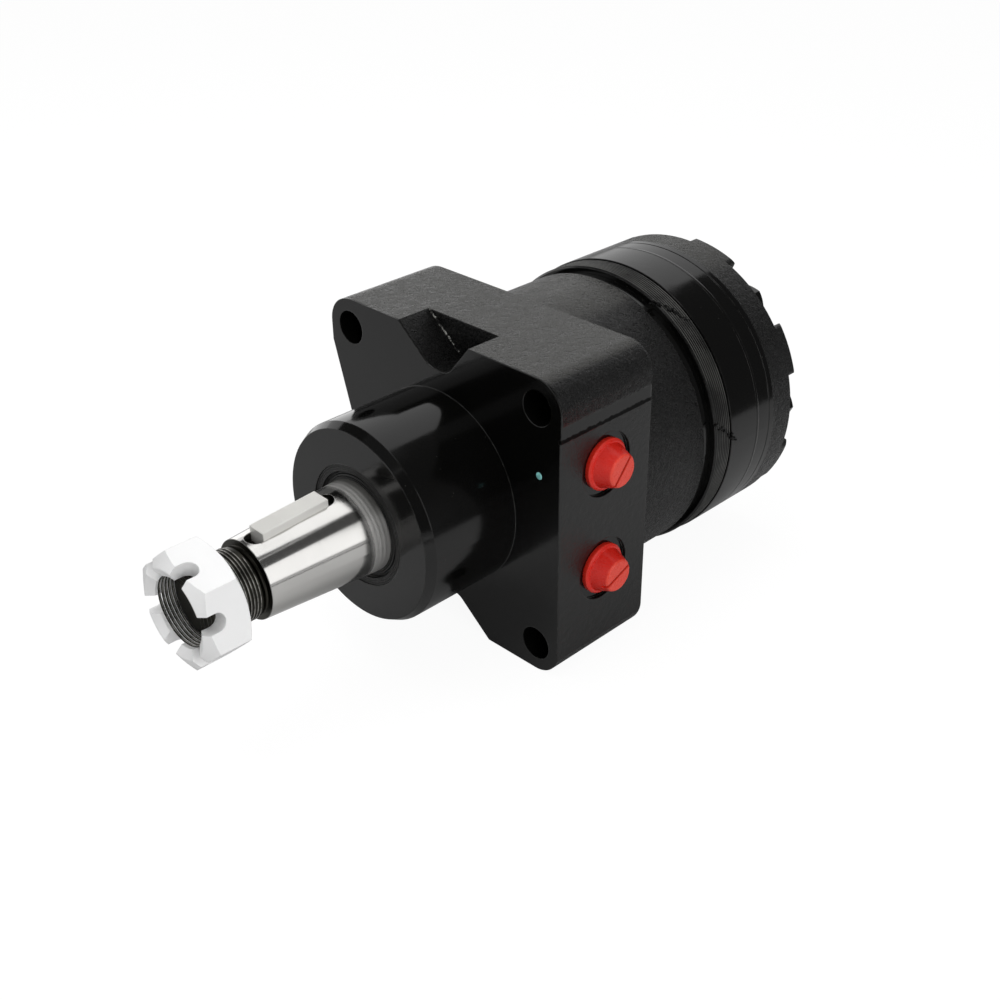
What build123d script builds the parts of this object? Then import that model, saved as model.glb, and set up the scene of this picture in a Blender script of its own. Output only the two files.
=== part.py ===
from build123d import *
import math
import os

# Orbital hydraulic wheel motor.
# Frame: millimetres, shaft axis along Y, output shaft towards -Y, ports on the +X side, +Z up.
# Origin: where the shaft axis meets the front face of the mounting flange.
# Angles about the shaft axis are in degrees from +X towards +Z.

# ---- driving dimensions ----
RUN = 0.05                # radial clearance of a turning fit
FACE_GAP = 0.05           # axial clearance of a sliding face
SEAT = 0.02               # clearance of a bolt or ring in its hole or groove
CUT = 1.0                 # cutters run this far past the face they open
NEAR = 0.01               # places closer than this are the same

# mounting flange
FLANGE_HALF = 64.3        # centre to flat side
FLANGE_T = 52.0
BOLT_EDGE = 12.1          # each mounting hole's centre is this far inside both flange edges
BOLT_HALF = FLANGE_HALF - BOLT_EDGE     # half the spacing of the four mounting holes
MOUNT_HOLE_R = 7.05
WAIST_HALF_WIDTH = 51.5   # flange narrowed to this on the side away from the ports
WAIST_START = 43.6        # height above the axis where the narrowing starts
WAIST_ROUND = 22.0
RELIEF_DEPTH_Y = 16.3     # the two wrench reliefs go this deep from the front
RELIEF_BOTTOM = 50.0      # height of the relief's floor over the axis
TOP_RELIEF = (-22.8, -5.5, 5.0, 16.8)     # left rim, left foot, right foot, right rim
BOTTOM_RELIEF = (-20.0, -3.0, 8.0, 25.5)
RELIEF_ROUND = 7.0
EDGE_ROUND = 2.5          # on the back edges of the flange

# front nose: one straight pilot up to its chamfered rim
PILOT_R = 41.25
NOSE_Y = -44.85
NOSE_CHAMFER = (3.75, 1.9)

# rear of the housing
BARREL_R = 62.0
BARREL_ROOT = 10.0        # the barrel starts this deep inside the flange
GROOVE_DEPTH = 1.4
GROOVE_R = BARREL_R - GROOVE_DEPTH
GROOVE_L = 6.0            # last, slimmer stretch of the barrel
HOUSING_END = 96.0

# ports on the +X side
PORT_HALF = 23.4          # each port centre above or below the axis
PORT_FACE_DEPTH = 0.5     # machined off the port side
PORT_FACE_TOP = 41.6      # height of the machined part's upper edge
PORT_BORE_R = 9.9
PORT_BORE_DEPTH = 17.0
PORT_SPOT_R = 13.4
PORT_SPOT_DEPTH = 1.4
PORT_DRILL_R = 3.2
PORT_DRILL_SHIFT = 1.5    # the drill lies this much nearer the port's centre than the gallery
GALLERY_R = 3.5

# plate stack behind the housing
RING_R = 64.1
PLATE_STEP = 0.9          # the wear plate is this much smaller in radius than the rings behind it
PLATE_R = RING_R - PLATE_STEP
PLATE_EDGE = 0.4          # chamfers of the wear plate and the cover's seam
RING_EDGE = 0.25          # chamfers of the stator ring and the manifold
WEAR_T = 10.0
STATOR_T = 18.3
MANIFOLD_T = 8.0
COVER_BASE_T = 15.7       # up to the seats of the bolt heads
COVER_LUG_T = 5.7         # the lugs stand this far past the seats
COVER_POCKET_HALF = 15.2  # half-angle of each bolt pocket
COVER_POCKET_INSET = 9.3  # each pocket's inner wall lies this far inside the bolt circle
COVER_LUG_ROUND = 2.2     # on the outer corners of the lugs
COVER_EDGE = 1.5          # chamfer round the lugs

# cover bolts
BOLT_COUNT = 7
COVER_BOLT_EDGE = 10.8    # from the bolt circle out to the rings' rim
COVER_BOLT_PCR = RING_R - COVER_BOLT_EDGE
GALLERY_INSET = 13.1      # the oil galleries lie this far inside the bolt circle
GALLERY_PCR = COVER_BOLT_PCR - GALLERY_INSET
COVER_POCKET_R = COVER_BOLT_PCR - COVER_POCKET_INSET
COVER_BOLT_R = 4.7
COVER_BOLT_HOLE_R = 5.0
COVER_BOLT_AF = 14.3
COVER_BOLT_HEAD = 7.3
BOLT_HEAD_CHAMFER = (0.9, 1.4)
COVER_BOLT_REACH = 21.0   # thread length inside the housing
COVER_BOLT_SPARE = 3.0    # the blind holes go this much deeper
BOLT_TURN = 30.0          # each head stands with a corner outwards

# body seals
SEAL_INSET = 8.1          # the seals lie this far inside the bolt circle
SEAL_R = COVER_BOLT_PCR - SEAL_INSET
SEAL_WIDTH = 1.9
SEAL_DEPTH = 1.5
SEAL_SIDE = 0.1

# roller set
ROLLER_R = 6.5
ROLLER_PCR = 33.0
ECCENTRIC = 2.9
ROTOR_CLEAR = 0.04
STATOR_BORE_GAP = 0.45    # ring's bore outside the farthest reach of the lobes
ORBIT_ANGLE = 90.0        # the rotor centre is displaced this way at rest
ROTOR_POINT_COUNT = 30         # profile points per lobe

# output shaft
TAPER_SET = 1.05          # the taper starts this far in front of the nose
TAPER_LENGTH = 50.6
TAPER_R = 19.05
TAPER_RATE = 1 / 16       # radius lost per length, a 1 in 8 taper
TAPER_CHAMFER = (0.4, 0.6)
NECKDOWN_R = 13.7
NECKDOWN_L = 2.6
THREAD_PITCH_R = 13.83    # of a 1 1/8 inch thread with 18 turns to the inch
THREAD_L = 18.9
TIP_CHAMFER = 1.2
JOURNAL_R = 20.0
JOURNAL_LEAD = 0.5        # length of the slope up to the front journal
SHOULDER_R = 23.0
SHAFT_BACK = 8.0          # inner end of the shaft in front of the housing's end
SOCKET_R = 15.5
SOCKET_DEPTH = 48.0
SOCKET_SPLINE_SPARE = 1.5     # the socket's teeth run this far past the link's

# key
KEY_W = 7.94
KEY_H = 7.0
KEY_PROUD = 2.9
KEY_L = 29.6
KEY_SET = 6.1             # front end of the key behind the taper's small end
KEY_CHAMFER = 0.35
KEYWAY_SPARE = 4.9        # the keyway runs this far past each end of the key
KEY_ANGLE = 87.3          # the shaft stands with its key nearly on top

# castle nut
NUT_AF = 41.0
NUT_SET = 9.9             # back of the nut in front of the thread's start
NUT_T = 18.5
NUT_BORE_R = THREAD_PITCH_R + RUN
NUT_SLOT_W = 7.0
NUT_SLOT_DEPTH = 8.5
NUT_ANGLE = 12.0          # direction of one flat
NUT_CHAMFER = 30.0        # slope of the corner chamfers
NUT_FRONT_LAND = 2.7      # flat front face ends this far inside the flats
NUT_BACK_LAND = 0.9
NUT_SINK = (2.1, 3.4)     # depth and widening of the countersink

# tapered roller bearings
CUP_R = 31.0
BEARING_W = 18.0
FRONT_BEARING_Y = -26.0
REAR_BEARING_SET = 34.0   # front of the rear bearing in front of the housing's end
RACE_WALL = 2.55          # of cup and cone at the rollers' big ends, were they not shifted or tilted
ROLLER_BIG_R = (CUP_R - JOURNAL_R) / 2 - RACE_WALL
ROLLER_TAPER = 0.6        # each roller is this much slimmer at its small end
ROLLER_SMALL_R = ROLLER_BIG_R - ROLLER_TAPER
ROLLER_SPACING = 2.1      # least gap between neighbouring rollers
ROLLER_SHIFT = 0.1        # roller centres outside the middle of the bearing's section
ROLLER_TILT = 12.0
ROLLER_L = 12.0
CONE_RIB_H = 1.6          # rib heights over the race at the rollers' ends
CONE_SMALL_RIB_H = 0.9
CONE_RIB_GAP = 0.15       # rib to the rollers' big ends
CONE_SMALL_RIB_GAP = 0.4
CONE_SET = 2.0            # small end of the cone behind the back of the cup
CUP_SET = 2.5             # open end of the cup in front of the back of the cone
CAGE_T = 0.9
CAGE_RIM = 0.9            # the cage runs this far past the rollers' ends
CAGE_CLEAR = 0.12
SNAP_RING_T = 2.0
SNAP_RING_DEPTH = 1.7
SNAP_RING_REACH = 3.5     # the ring stands this far inside the bore

# front seals
SEAL_BORE_R = 25.1
SEAL_SHOULDER_T = 4.0     # wall between the seal bore and the front bearing
SEAL_LAND_R = 22.5
DUST_SEAL_T = 3.8
DUST_SEAL_SET = 0.45      # dust seal face behind the nose face
DUST_DISH = 1.5           # depth of the hollow in the seal's face
DUST_RIM = (0.4, 1.0)     # hollow's rim under the land, at its face and at its floor
DUST_HEEL = (1.6, 1.2)
DUST_LIP = (0.2, 0.7, 0.6)    # lip behind the face, its width and its height
SEAL_RING_GAP = 0.2
SEAL_RING_T = 1.4
SEAL_RING_DEPTH = 1.2
SHAFT_SEAL_T = 6.8
SHAFT_SEAL_WALL = 1.5
SHAFT_SEAL_FACE = 2.0
SHAFT_LIP = (2.2, 0.8)    # lip in front of the seal's back, and its width
SHAFT_LIP_T = (1.6, 2.2, 1.2)     # lip heights at its face, root and heel
SHAFT_LIP_HEEL = 0.6
BACKUP_T = 1.5
BACKUP_CLEAR = 0.3

# splines of the drive link
TEETH = 12
LINK_TIP_R = 13.6
LINK_ROOT_R = 11.3
LINK_BODY_R = 9.6
SPLINE_TIP_R = 11.8
SPLINE_ROOT_R = 14.2
PITCH_R = 12.7
TOOTH_HALF = 1.3          # half the link tooth's width at the pitch circle
TOOTH_SIDE = 0.45         # clearance on each side of a link tooth
TOOTH_LEAN = 0.22         # half-width lost per millimetre of height
FRONT_BAND_L = 11.0
FRONT_BAND_GAP = 3.0      # link's front teeth behind the socket's floor
REAR_BAND_L = 11.0
REAR_BAND_GAP = 1.2       # link's rear teeth behind the wear plate
BAND_CHAMFER = 1.0
LINK_TIPS = (0.8, 0.5)    # core of the link past its front and rear teeth

# valve
VALVE_R = 30.0
VALVE_T = 9.0
VALVE_BORE_R = 8.05
VALVE_RING_R = 40.0
PLUG_DISC_R = 16.5
PLUG_DISC_T = 5.0
JOURNAL_PIN_L = 7.6       # reach of the rotor's journal into the valve
MANIFOLD_BORE_R = 11.6
MANIFOLD_PORT_R = 2.4
MANIFOLD_PORT_PCR = 30.0
KIDNEY_R = 25.0
KIDNEY_W = 3.6
KIDNEY_DEPTH = 4.0
KIDNEY_HALF = 74.0        # half-angle of each kidney groove
KIDNEY_STEP_COUNT = 6          # straight steps in half a groove
BALANCE_T = 4.0
BALANCE_BORE_R = 10.0
BALANCE_CLEAR = 0.1
SPRING_T = 2.0
SPRING_THICK = 1.0
SPRING_R = (31.0, 37.0)

# port plugs
PLUG_FLANGE_R = 10.6
PLUG_FLANGE_T = 2.6
PLUG_SHANK_L = 13.0
PLUG_WALL = 1.6
PLUG_CHAMFER = 0.8
PLUG_HEAD_R = (9.2, 6.8)  # of the tapered head, at the flange and at its tip
PLUG_HEAD_H = 8.2         # the tip stands this far out of the port face
PLUG_TIP_CHAMFER = 0.5
PLUG_SLOT_W = 1.3
PLUG_SLOT_DEPTH = 2.4
PLUG_SLOT_TURNS = {1: -40.0, -1: -68.0}   # of the upper and the lower plug's slot

# ---- places worked out from the dimensions ----
BARREL_END = HOUSING_END - GROOVE_L
PORT_Y = FLANGE_T / 2
PORT_FACE_X = FLANGE_HALF - PORT_FACE_DEPTH
WEAR_Y = HOUSING_END
STATOR_Y = WEAR_Y + WEAR_T
MANIFOLD_Y = STATOR_Y + STATOR_T
COVER_Y = MANIFOLD_Y + MANIFOLD_T
SEAT_Y = COVER_Y + COVER_BASE_T
COVER_END = SEAT_Y + COVER_LUG_T
BOLT_STEP = 360 / BOLT_COUNT
ROLLER_START = BOLT_STEP / 2
STATOR_BORE_R = ROLLER_PCR - ROLLER_R + 2 * ECCENTRIC + STATOR_BORE_GAP
ORBIT_X = ECCENTRIC * math.cos(math.radians(ORBIT_ANGLE))
ORBIT_Z = ECCENTRIC * math.sin(math.radians(ORBIT_ANGLE))
SEAL_BORE_END = FRONT_BEARING_Y - SEAL_SHOULDER_T
SEAL_RING_Y = NOSE_Y + DUST_SEAL_SET + DUST_SEAL_T + SEAL_RING_GAP
REAR_BEARING_Y = HOUSING_END - REAR_BEARING_SET
ROLLER_MID_R = (CUP_R + JOURNAL_R) / 2 + ROLLER_SHIFT
BEARING_ROLLER_COUNT = int(2 * math.pi * ROLLER_MID_R / (2 * ROLLER_BIG_R + ROLLER_SPACING))
TAPER_START = NOSE_Y - TAPER_SET
TAPER_END = TAPER_START - TAPER_LENGTH
TAPER_TIP_R = TAPER_R - TAPER_LENGTH * TAPER_RATE
THREAD_START = TAPER_END - NECKDOWN_L
SHAFT_TIP = THREAD_START - THREAD_L
SHAFT_END = HOUSING_END - SHAFT_BACK
SOCKET_FLOOR = SHAFT_END - SOCKET_DEPTH
KEY_Y = TAPER_END + KEY_SET
NUT_BACK = THREAD_START - NUT_SET
NUT_FRONT = NUT_BACK - NUT_T
FRONT_BAND_Y = SOCKET_FLOOR + FRONT_BAND_GAP
FRONT_BAND_END = FRONT_BAND_Y + FRONT_BAND_L
REAR_BAND_Y = STATOR_Y + REAR_BAND_GAP
REAR_BAND_END = REAR_BAND_Y + REAR_BAND_L
BALANCE_Y = COVER_Y + VALVE_T + 2 * FACE_GAP
SPRING_Y = BALANCE_Y + BALANCE_T


# ---- helpers ----
def polar(radius, angle):
    """X and Z of a point at a radius and angle about the shaft axis."""
    return radius * math.cos(math.radians(angle)), radius * math.sin(math.radians(angle))


def turned(points):
    """Solid of revolution about the shaft axis through (y, radius) points."""
    outline = Polyline(*[(radius, y) for y, radius in points], close=True)
    return revolve(make_face(outline), Axis.Y)


def rod(radius, y0, y1, x=0.0, z=0.0):
    return Pos(x, (y0 + y1) / 2, z) * Rot(90, 0, 0) * Cylinder(radius, y1 - y0)


def tube(outer, inner, y0, y1):
    return turned([(y0, inner), (y0, outer), (y1, outer), (y1, inner)])


def rod_x(radius, x0, x1, y, z):
    return Pos((x0 + x1) / 2, y, z) * Rot(0, 90, 0) * Cylinder(radius, x1 - x0)


def turn(shape, angle):
    """Turn a shape about the shaft axis by an angle from +X towards +Z."""
    return Rot(0, -angle, 0) * shape


def slab(corners, y0, y1):
    """Prism along Y over (x, z) corners."""
    outline = Polyline(*[(x, y0, z) for x, z in corners], close=True)
    return extrude(make_face(outline), amount=y1 - y0, dir=(0, 1, 0))


def hexagon(across_flats, y0, y1, flat_angle=0.0):
    corner = across_flats / math.sqrt(3)
    return slab([polar(corner, flat_angle + 30 + 60 * k) for k in range(6)], y0, y1)


BOLT_ANGLES = [BOLT_STEP * k for k in range(BOLT_COUNT)]
ROLLER_ANGLES = [ROLLER_START + BOLT_STEP * k for k in range(BOLT_COUNT)]
GALLERY_ANGLES = [BOLT_STEP, -BOLT_STEP]


def cover_bolt_holes(y0, y1, radius):
    return [rod(radius, y0, y1, *polar(COVER_BOLT_PCR, a)) for a in BOLT_ANGLES]


def galleries(y0, y1):
    return [rod(GALLERY_R, y0, y1, *polar(GALLERY_PCR, a)) for a in GALLERY_ANGLES]


def seal_groove(y0, y1):
    half = SEAL_WIDTH / 2 + SEAL_SIDE
    return tube(SEAL_R + half, SEAL_R - half, y0, y1)


# ---- housing ----
def flange_outline():
    """Front outline: a square with rounded ears, narrowed on the side away from the ports."""
    h = FLANGE_HALF
    corner = h - BOLT_HALF
    lines = Polyline((h, -h), (h, h), (-h, h), (-h, WAIST_START), (-WAIST_HALF_WIDTH, 0),
                     (-h, -WAIST_START), (-h, -h), close=True)
    face = make_face(lines)
    ears = [v for v in face.vertices() if abs(abs(v.X) - h) < NEAR and abs(abs(v.Y) - h) < NEAR]
    face = fillet(ears, corner)
    waist = [v for v in face.vertices() if abs(v.X + WAIST_HALF_WIDTH) < NEAR and abs(v.Y) < NEAR]
    return fillet(waist, WAIST_ROUND)


def relief(left_rim, left_foot, right_foot, right_rim, side):
    """Wrench relief cut into the flange's top (side 1) or bottom (side -1)."""
    over = FLANGE_HALF + CUT
    left_slope = (left_foot - left_rim) / (FLANGE_HALF - RELIEF_BOTTOM)
    right_slope = (right_rim - right_foot) / (FLANGE_HALF - RELIEF_BOTTOM)
    rise = over - RELIEF_BOTTOM
    corners = [(left_foot - left_slope * rise, side * over), (left_foot, side * RELIEF_BOTTOM),
               (right_foot, side * RELIEF_BOTTOM), (right_foot + right_slope * rise, side * over)]
    cutter = slab(corners, -CUT, RELIEF_DEPTH_Y)
    feet = [e for e in cutter.edges().filter_by(Axis.Y) if abs(e.center().Z * side - RELIEF_BOTTOM) < NEAR]
    return fillet(feet, RELIEF_ROUND)


def nose():
    """Straight pilot nose with a chamfered front rim."""
    chamfer_l, chamfer_r = NOSE_CHAMFER
    return turned([(NOSE_Y, 0), (NOSE_Y, PILOT_R - chamfer_r), (NOSE_Y + chamfer_l, PILOT_R),
                   (CUT, PILOT_R), (CUT, 0)])


def housing():
    front = extrude(Rot(90, 0, 0) * flange_outline(), amount=FLANGE_T, dir=(0, 1, 0))
    back = front.faces().sort_by(Axis.Y)[-1]
    front = fillet(back.edges(), EDGE_ROUND)
    body = front + nose()
    root = FLANGE_T - BARREL_ROOT
    body += turned([(root, 0), (root, BARREL_R), (BARREL_END, BARREL_R),
                    (BARREL_END, GROOVE_R), (HOUSING_END, GROOVE_R), (HOUSING_END, 0)])
    body -= relief(*TOP_RELIEF, 1)
    body -= relief(*BOTTOM_RELIEF, -1)
    body -= Pos(PORT_FACE_X, FLANGE_T / 2, PORT_FACE_TOP) * Box(
        2 * FLANGE_HALF, FLANGE_T + 2 * CUT, 2 * FLANGE_HALF, align=(Align.MIN, Align.CENTER, Align.MAX))
    for x in (-BOLT_HALF, BOLT_HALF):
        for z in (-BOLT_HALF, BOLT_HALF):
            body -= rod(MOUNT_HOLE_R, -CUT, HOUSING_END + CUT, x, z)
    body -= turned([(NOSE_Y - CUT, 0), (NOSE_Y - CUT, SEAL_BORE_R), (SEAL_BORE_END, SEAL_BORE_R),
                    (SEAL_BORE_END, SEAL_LAND_R), (FRONT_BEARING_Y, SEAL_LAND_R),
                    (FRONT_BEARING_Y, CUP_R), (HOUSING_END + CUT, CUP_R), (HOUSING_END + CUT, 0)])
    body -= snap_groove(REAR_BEARING_Y + BEARING_W, SNAP_RING_T, CUP_R, SNAP_RING_DEPTH)
    body -= snap_groove(SEAL_RING_Y, SEAL_RING_T, SEAL_BORE_R, SEAL_RING_DEPTH)
    hole_floor = HOUSING_END - COVER_BOLT_REACH - COVER_BOLT_SPARE
    for hole in cover_bolt_holes(hole_floor, HOUSING_END + CUT, COVER_BOLT_R + SEAT):
        body -= hole
    for hole in galleries(PORT_Y, HOUSING_END + CUT):
        body -= hole
    for side in (1, -1):
        z = side * PORT_HALF
        floor = PORT_FACE_X - PORT_BORE_DEPTH
        body -= rod_x(PORT_SPOT_R, PORT_FACE_X - PORT_SPOT_DEPTH, PORT_FACE_X + CUT, PORT_Y, z)
        body -= rod_x(PORT_BORE_R, floor, PORT_FACE_X + CUT, PORT_Y, z)
        gallery_x, gallery_z = polar(GALLERY_PCR, side * BOLT_STEP)
        drill_z = gallery_z - side * PORT_DRILL_SHIFT
        body -= rod_x(PORT_DRILL_R, gallery_x, floor + CUT, PORT_Y, drill_z)
    return body


def snap_groove(y, width, bore, depth):
    return tube(bore + depth, bore - CUT, y, y + width)


# ---- front seals ----
def dust_seal():
    front = NOSE_Y + DUST_SEAL_SET
    back = front + DUST_SEAL_T
    rim_face, rim_floor = DUST_RIM
    heel_l, heel_r = DUST_HEEL
    lip_set, lip_w, lip_h = DUST_LIP
    lip = TAPER_R + RUN
    lip_y = front + lip_set
    return turned([(front, SEAL_BORE_R), (back, SEAL_BORE_R), (back, SEAL_LAND_R),
                   (back - heel_l, SEAL_LAND_R - heel_r), (lip_y + lip_w, lip), (lip_y, lip),
                   (lip_y, lip + lip_h), (front + DUST_DISH, SEAL_LAND_R - rim_floor),
                   (front, SEAL_LAND_R - rim_face)])


def seal_snap_ring():
    outer = SEAL_BORE_R + SEAL_RING_DEPTH - SEAT
    return tube(outer, SEAL_LAND_R, SEAL_RING_Y, SEAL_RING_Y + SEAL_RING_T)


def shaft_seal():
    back = SEAL_BORE_END - BACKUP_T
    front = back - SHAFT_SEAL_T
    wall = SEAL_BORE_R - SHAFT_SEAL_WALL
    web = front + SHAFT_SEAL_FACE
    lip = TAPER_R + RUN
    lip_end = back - SHAFT_LIP[0]
    face_h, root_h, heel_h = SHAFT_LIP_T
    return turned([(front, SEAL_BORE_R), (back, SEAL_BORE_R), (back, wall), (web, wall),
                   (web, lip + root_h), (lip_end + SHAFT_LIP_HEEL, lip + heel_h), (lip_end, lip),
                   (lip_end - SHAFT_LIP[1], lip), (front, lip + face_h)])


def backup_washer():
    return tube(SEAL_BORE_R, TAPER_R + BACKUP_CLEAR, SEAL_BORE_END - BACKUP_T, SEAL_BORE_END)


# ---- output shaft ----
def shaft_radius(y):
    return TAPER_R - (TAPER_START - y) * TAPER_RATE


def on_taper(shape, y, height):
    """Stand a shape on the taper: its origin goes to a height over the surface at y."""
    lean = math.degrees(math.atan(TAPER_RATE))
    return turn(Pos(0, y, shaft_radius(y)) * Rot(lean, 0, 0) * Pos(0, 0, height) * shape, KEY_ANGLE - 90)


def keyway():
    middle = KEY_Y + KEY_L / 2
    straight = KEY_L + 2 * KEYWAY_SPARE - KEY_W
    deep = KEY_H - KEY_PROUD
    top = (Align.CENTER, Align.CENTER, Align.MIN)
    slot = Box(KEY_W, straight, deep + KEY_H, align=top)
    for end in (-straight / 2, straight / 2):
        slot += Pos(0, end, 0) * Cylinder(KEY_W / 2, deep + KEY_H, align=top)
    return on_taper(slot, middle, -deep)


def shaft_key():
    block = Box(KEY_W, KEY_L, KEY_H, align=(Align.CENTER, Align.CENTER, Align.MAX))
    block = chamfer(block.faces().sort_by(Axis.Z)[-1].edges(), KEY_CHAMFER)
    return on_taper(block, KEY_Y + KEY_L / 2, KEY_PROUD)


def spline_corners(tip, root, half, start=0.0):
    """Outline of straight-sided spline teeth as (x, z) corners."""
    corners = []
    for k in range(TEETH):
        for radius, side in ((root, -1), (tip, -1), (tip, 1), (root, 1)):
            width = side * (half - TOOTH_LEAN * (radius - PITCH_R))
            reach = math.sqrt(radius ** 2 - width ** 2)
            angle = 360 / TEETH * k + start + math.degrees(math.atan2(width, reach))
            corners.append(polar(radius, angle))
    return corners


def spline_hole(y0, y1, start=0.0):
    return slab(spline_corners(SPLINE_ROOT_R, SPLINE_TIP_R, TOOTH_HALF + TOOTH_SIDE, start), y0, y1)


def output_shaft():
    cone_end = FRONT_BEARING_Y + BEARING_W
    chamfer_l, chamfer_r = TAPER_CHAMFER
    teeth_end = FRONT_BAND_END + SOCKET_SPLINE_SPARE
    body = turned([(SHAFT_TIP, 0), (SHAFT_TIP, THREAD_PITCH_R - TIP_CHAMFER),
                   (SHAFT_TIP + TIP_CHAMFER, THREAD_PITCH_R), (THREAD_START, THREAD_PITCH_R),
                   (THREAD_START, NECKDOWN_R), (TAPER_END - chamfer_l, NECKDOWN_R),
                   (TAPER_END - chamfer_l, TAPER_TIP_R - chamfer_r), (TAPER_END, TAPER_TIP_R),
                   (TAPER_START, TAPER_R), (FRONT_BEARING_Y - JOURNAL_LEAD, TAPER_R),
                   (FRONT_BEARING_Y, JOURNAL_R), (cone_end, JOURNAL_R), (cone_end, SHOULDER_R),
                   (REAR_BEARING_Y, SHOULDER_R), (REAR_BEARING_Y, JOURNAL_R),
                   (SHAFT_END, JOURNAL_R), (SHAFT_END, 0)])
    body -= rod(SOCKET_R, teeth_end, SHAFT_END + CUT)
    body -= spline_hole(SOCKET_FLOOR, teeth_end + CUT)
    return body - keyway()


def castle_nut():
    body = hexagon(NUT_AF, NUT_FRONT, NUT_BACK, NUT_ANGLE)
    corner = NUT_AF / math.sqrt(3) + NEAR
    front_r = NUT_AF / 2 - NUT_FRONT_LAND
    back_r = NUT_AF / 2 - NUT_BACK_LAND
    slope = math.tan(math.radians(NUT_CHAMFER))
    sink_l, sink_r = NUT_SINK
    body &= turned([(NUT_FRONT, 0), (NUT_FRONT, front_r),
                    (NUT_FRONT + (corner - front_r) * slope, corner),
                    (NUT_BACK - (corner - back_r) * slope, corner), (NUT_BACK, back_r), (NUT_BACK, 0)])
    body -= turned([(NUT_FRONT, 0), (NUT_FRONT, NUT_BORE_R + sink_r), (NUT_FRONT + sink_l, NUT_BORE_R),
                    (NUT_BACK + CUT, NUT_BORE_R), (NUT_BACK + CUT, 0)])
    root_y = NUT_FRONT + NUT_SLOT_DEPTH - NUT_SLOT_W / 2
    for angle in (NUT_ANGLE, NUT_ANGLE + 60, NUT_ANGLE + 120):
        slot = Pos(0, root_y, 0) * Box(2 * NUT_AF, NUT_SLOT_DEPTH, NUT_SLOT_W,
                                       align=(Align.CENTER, Align.MAX, Align.CENTER))
        slot += rod_x(NUT_SLOT_W / 2, -NUT_AF, NUT_AF, root_y, 0)
        body -= turn(slot, angle)
    return body


# ---- tapered roller bearings ----
def bearing_points(clearance):
    """Ends of the outer and inner race lines, as (distance from the cup's back, radius)."""
    lean = math.radians(ROLLER_TILT)
    along = (math.cos(lean), math.sin(lean))
    across = (-math.sin(lean), math.cos(lean))
    points = {}
    for name, end, radius in (("small", -1, ROLLER_SMALL_R), ("big", 1, ROLLER_BIG_R)):
        middle = (BEARING_W / 2 + end * ROLLER_L / 2 * along[0], ROLLER_MID_R + end * ROLLER_L / 2 * along[1])
        for race, side in (("outer", 1), ("inner", -1)):
            reach = side * (radius + clearance)
            points[race, name] = (middle[0] + reach * across[0], middle[1] + reach * across[1])
    return points


def race_radius(race, distance):
    points = bearing_points(RUN)
    (s0, r0), (s1, r1) = points[race, "small"], points[race, "big"]
    return r0 + (r1 - r0) * (distance - s0) / (s1 - s0)


def facing(shape, y, mirrored):
    """Put a bearing part built from its cup's back at Y 0 into place; mirrored faces it forwards."""
    if mirrored:
        return Pos(0, y + BEARING_W, 0) * mirror(shape, Plane.XZ)
    return Pos(0, y, 0) * shape


def bearing_cup():
    width = BEARING_W - CUP_SET
    return turned([(0, CUP_R), (width, CUP_R), (width, race_radius("outer", width)),
                   (0, race_radius("outer", 0))])


def bearing_cone():
    points = bearing_points(RUN)
    rib = points["inner", "big"][0] + CONE_RIB_GAP
    small = points["inner", "small"][0] - CONE_SMALL_RIB_GAP
    race_big, race_small = race_radius("inner", rib), race_radius("inner", small)
    rib_r, small_r = race_big + CONE_RIB_H, race_small + CONE_SMALL_RIB_H
    return turned([(CONE_SET, JOURNAL_R), (CONE_SET, small_r), (small, small_r), (small, race_small),
                   (rib, race_big), (rib, rib_r), (BEARING_W, rib_r), (BEARING_W, JOURNAL_R)])


def tilted_roller(angle, extra=0.0):
    shape = Rot(-90, 0, 0) * Cone(ROLLER_SMALL_R + extra, ROLLER_BIG_R + extra, ROLLER_L + 2 * extra)
    shape = Pos(ROLLER_MID_R, BEARING_W / 2, 0) * Rot(0, 0, -ROLLER_TILT) * shape
    return turn(shape, angle)


def bearing_rollers():
    return [tilted_roller(360 / BEARING_ROLLER_COUNT * k) for k in range(BEARING_ROLLER_COUNT)]


def bearing_cage():
    lean = math.radians(ROLLER_TILT)
    reach = ROLLER_L / 2 + CAGE_RIM
    half = CAGE_T / 2
    y0, y1 = (BEARING_W / 2 + end * reach * math.cos(lean) for end in (-1, 1))
    r0, r1 = (ROLLER_MID_R + end * reach * math.sin(lean) for end in (-1, 1))
    shell = turned([(y0, r0 - half), (y0, r0 + half), (y1, r1 + half), (y1, r1 - half)])
    for k in range(BEARING_ROLLER_COUNT):
        shell -= tilted_roller(360 / BEARING_ROLLER_COUNT * k, CAGE_CLEAR)
    return shell


def rear_snap_ring():
    y = REAR_BEARING_Y + BEARING_W
    return tube(CUP_R + SNAP_RING_DEPTH - SEAT, CUP_R - SNAP_RING_REACH, y, y + SNAP_RING_T)


# ---- plates ----
def plate(y0, y1, radius, bore, edge):
    body = turned([(y0, bore), (y0, radius - edge), (y0 + edge, radius), (y1 - edge, radius),
                   (y1, radius - edge), (y1, bore)])
    for hole in cover_bolt_holes(y0 - CUT, y1 + CUT, COVER_BOLT_HOLE_R):
        body -= hole
    return body


def with_galleries(body, y0, y1):
    for hole in galleries(y0 - CUT, y1 + CUT):
        body -= hole
    return body


def wear_plate():
    body = plate(WEAR_Y, STATOR_Y, PLATE_R, SOCKET_R, PLATE_EDGE)
    body -= seal_groove(WEAR_Y - CUT, WEAR_Y + SEAL_DEPTH)
    body -= seal_groove(STATOR_Y - SEAL_DEPTH, STATOR_Y + CUT)
    return with_galleries(body, WEAR_Y, STATOR_Y)


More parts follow.
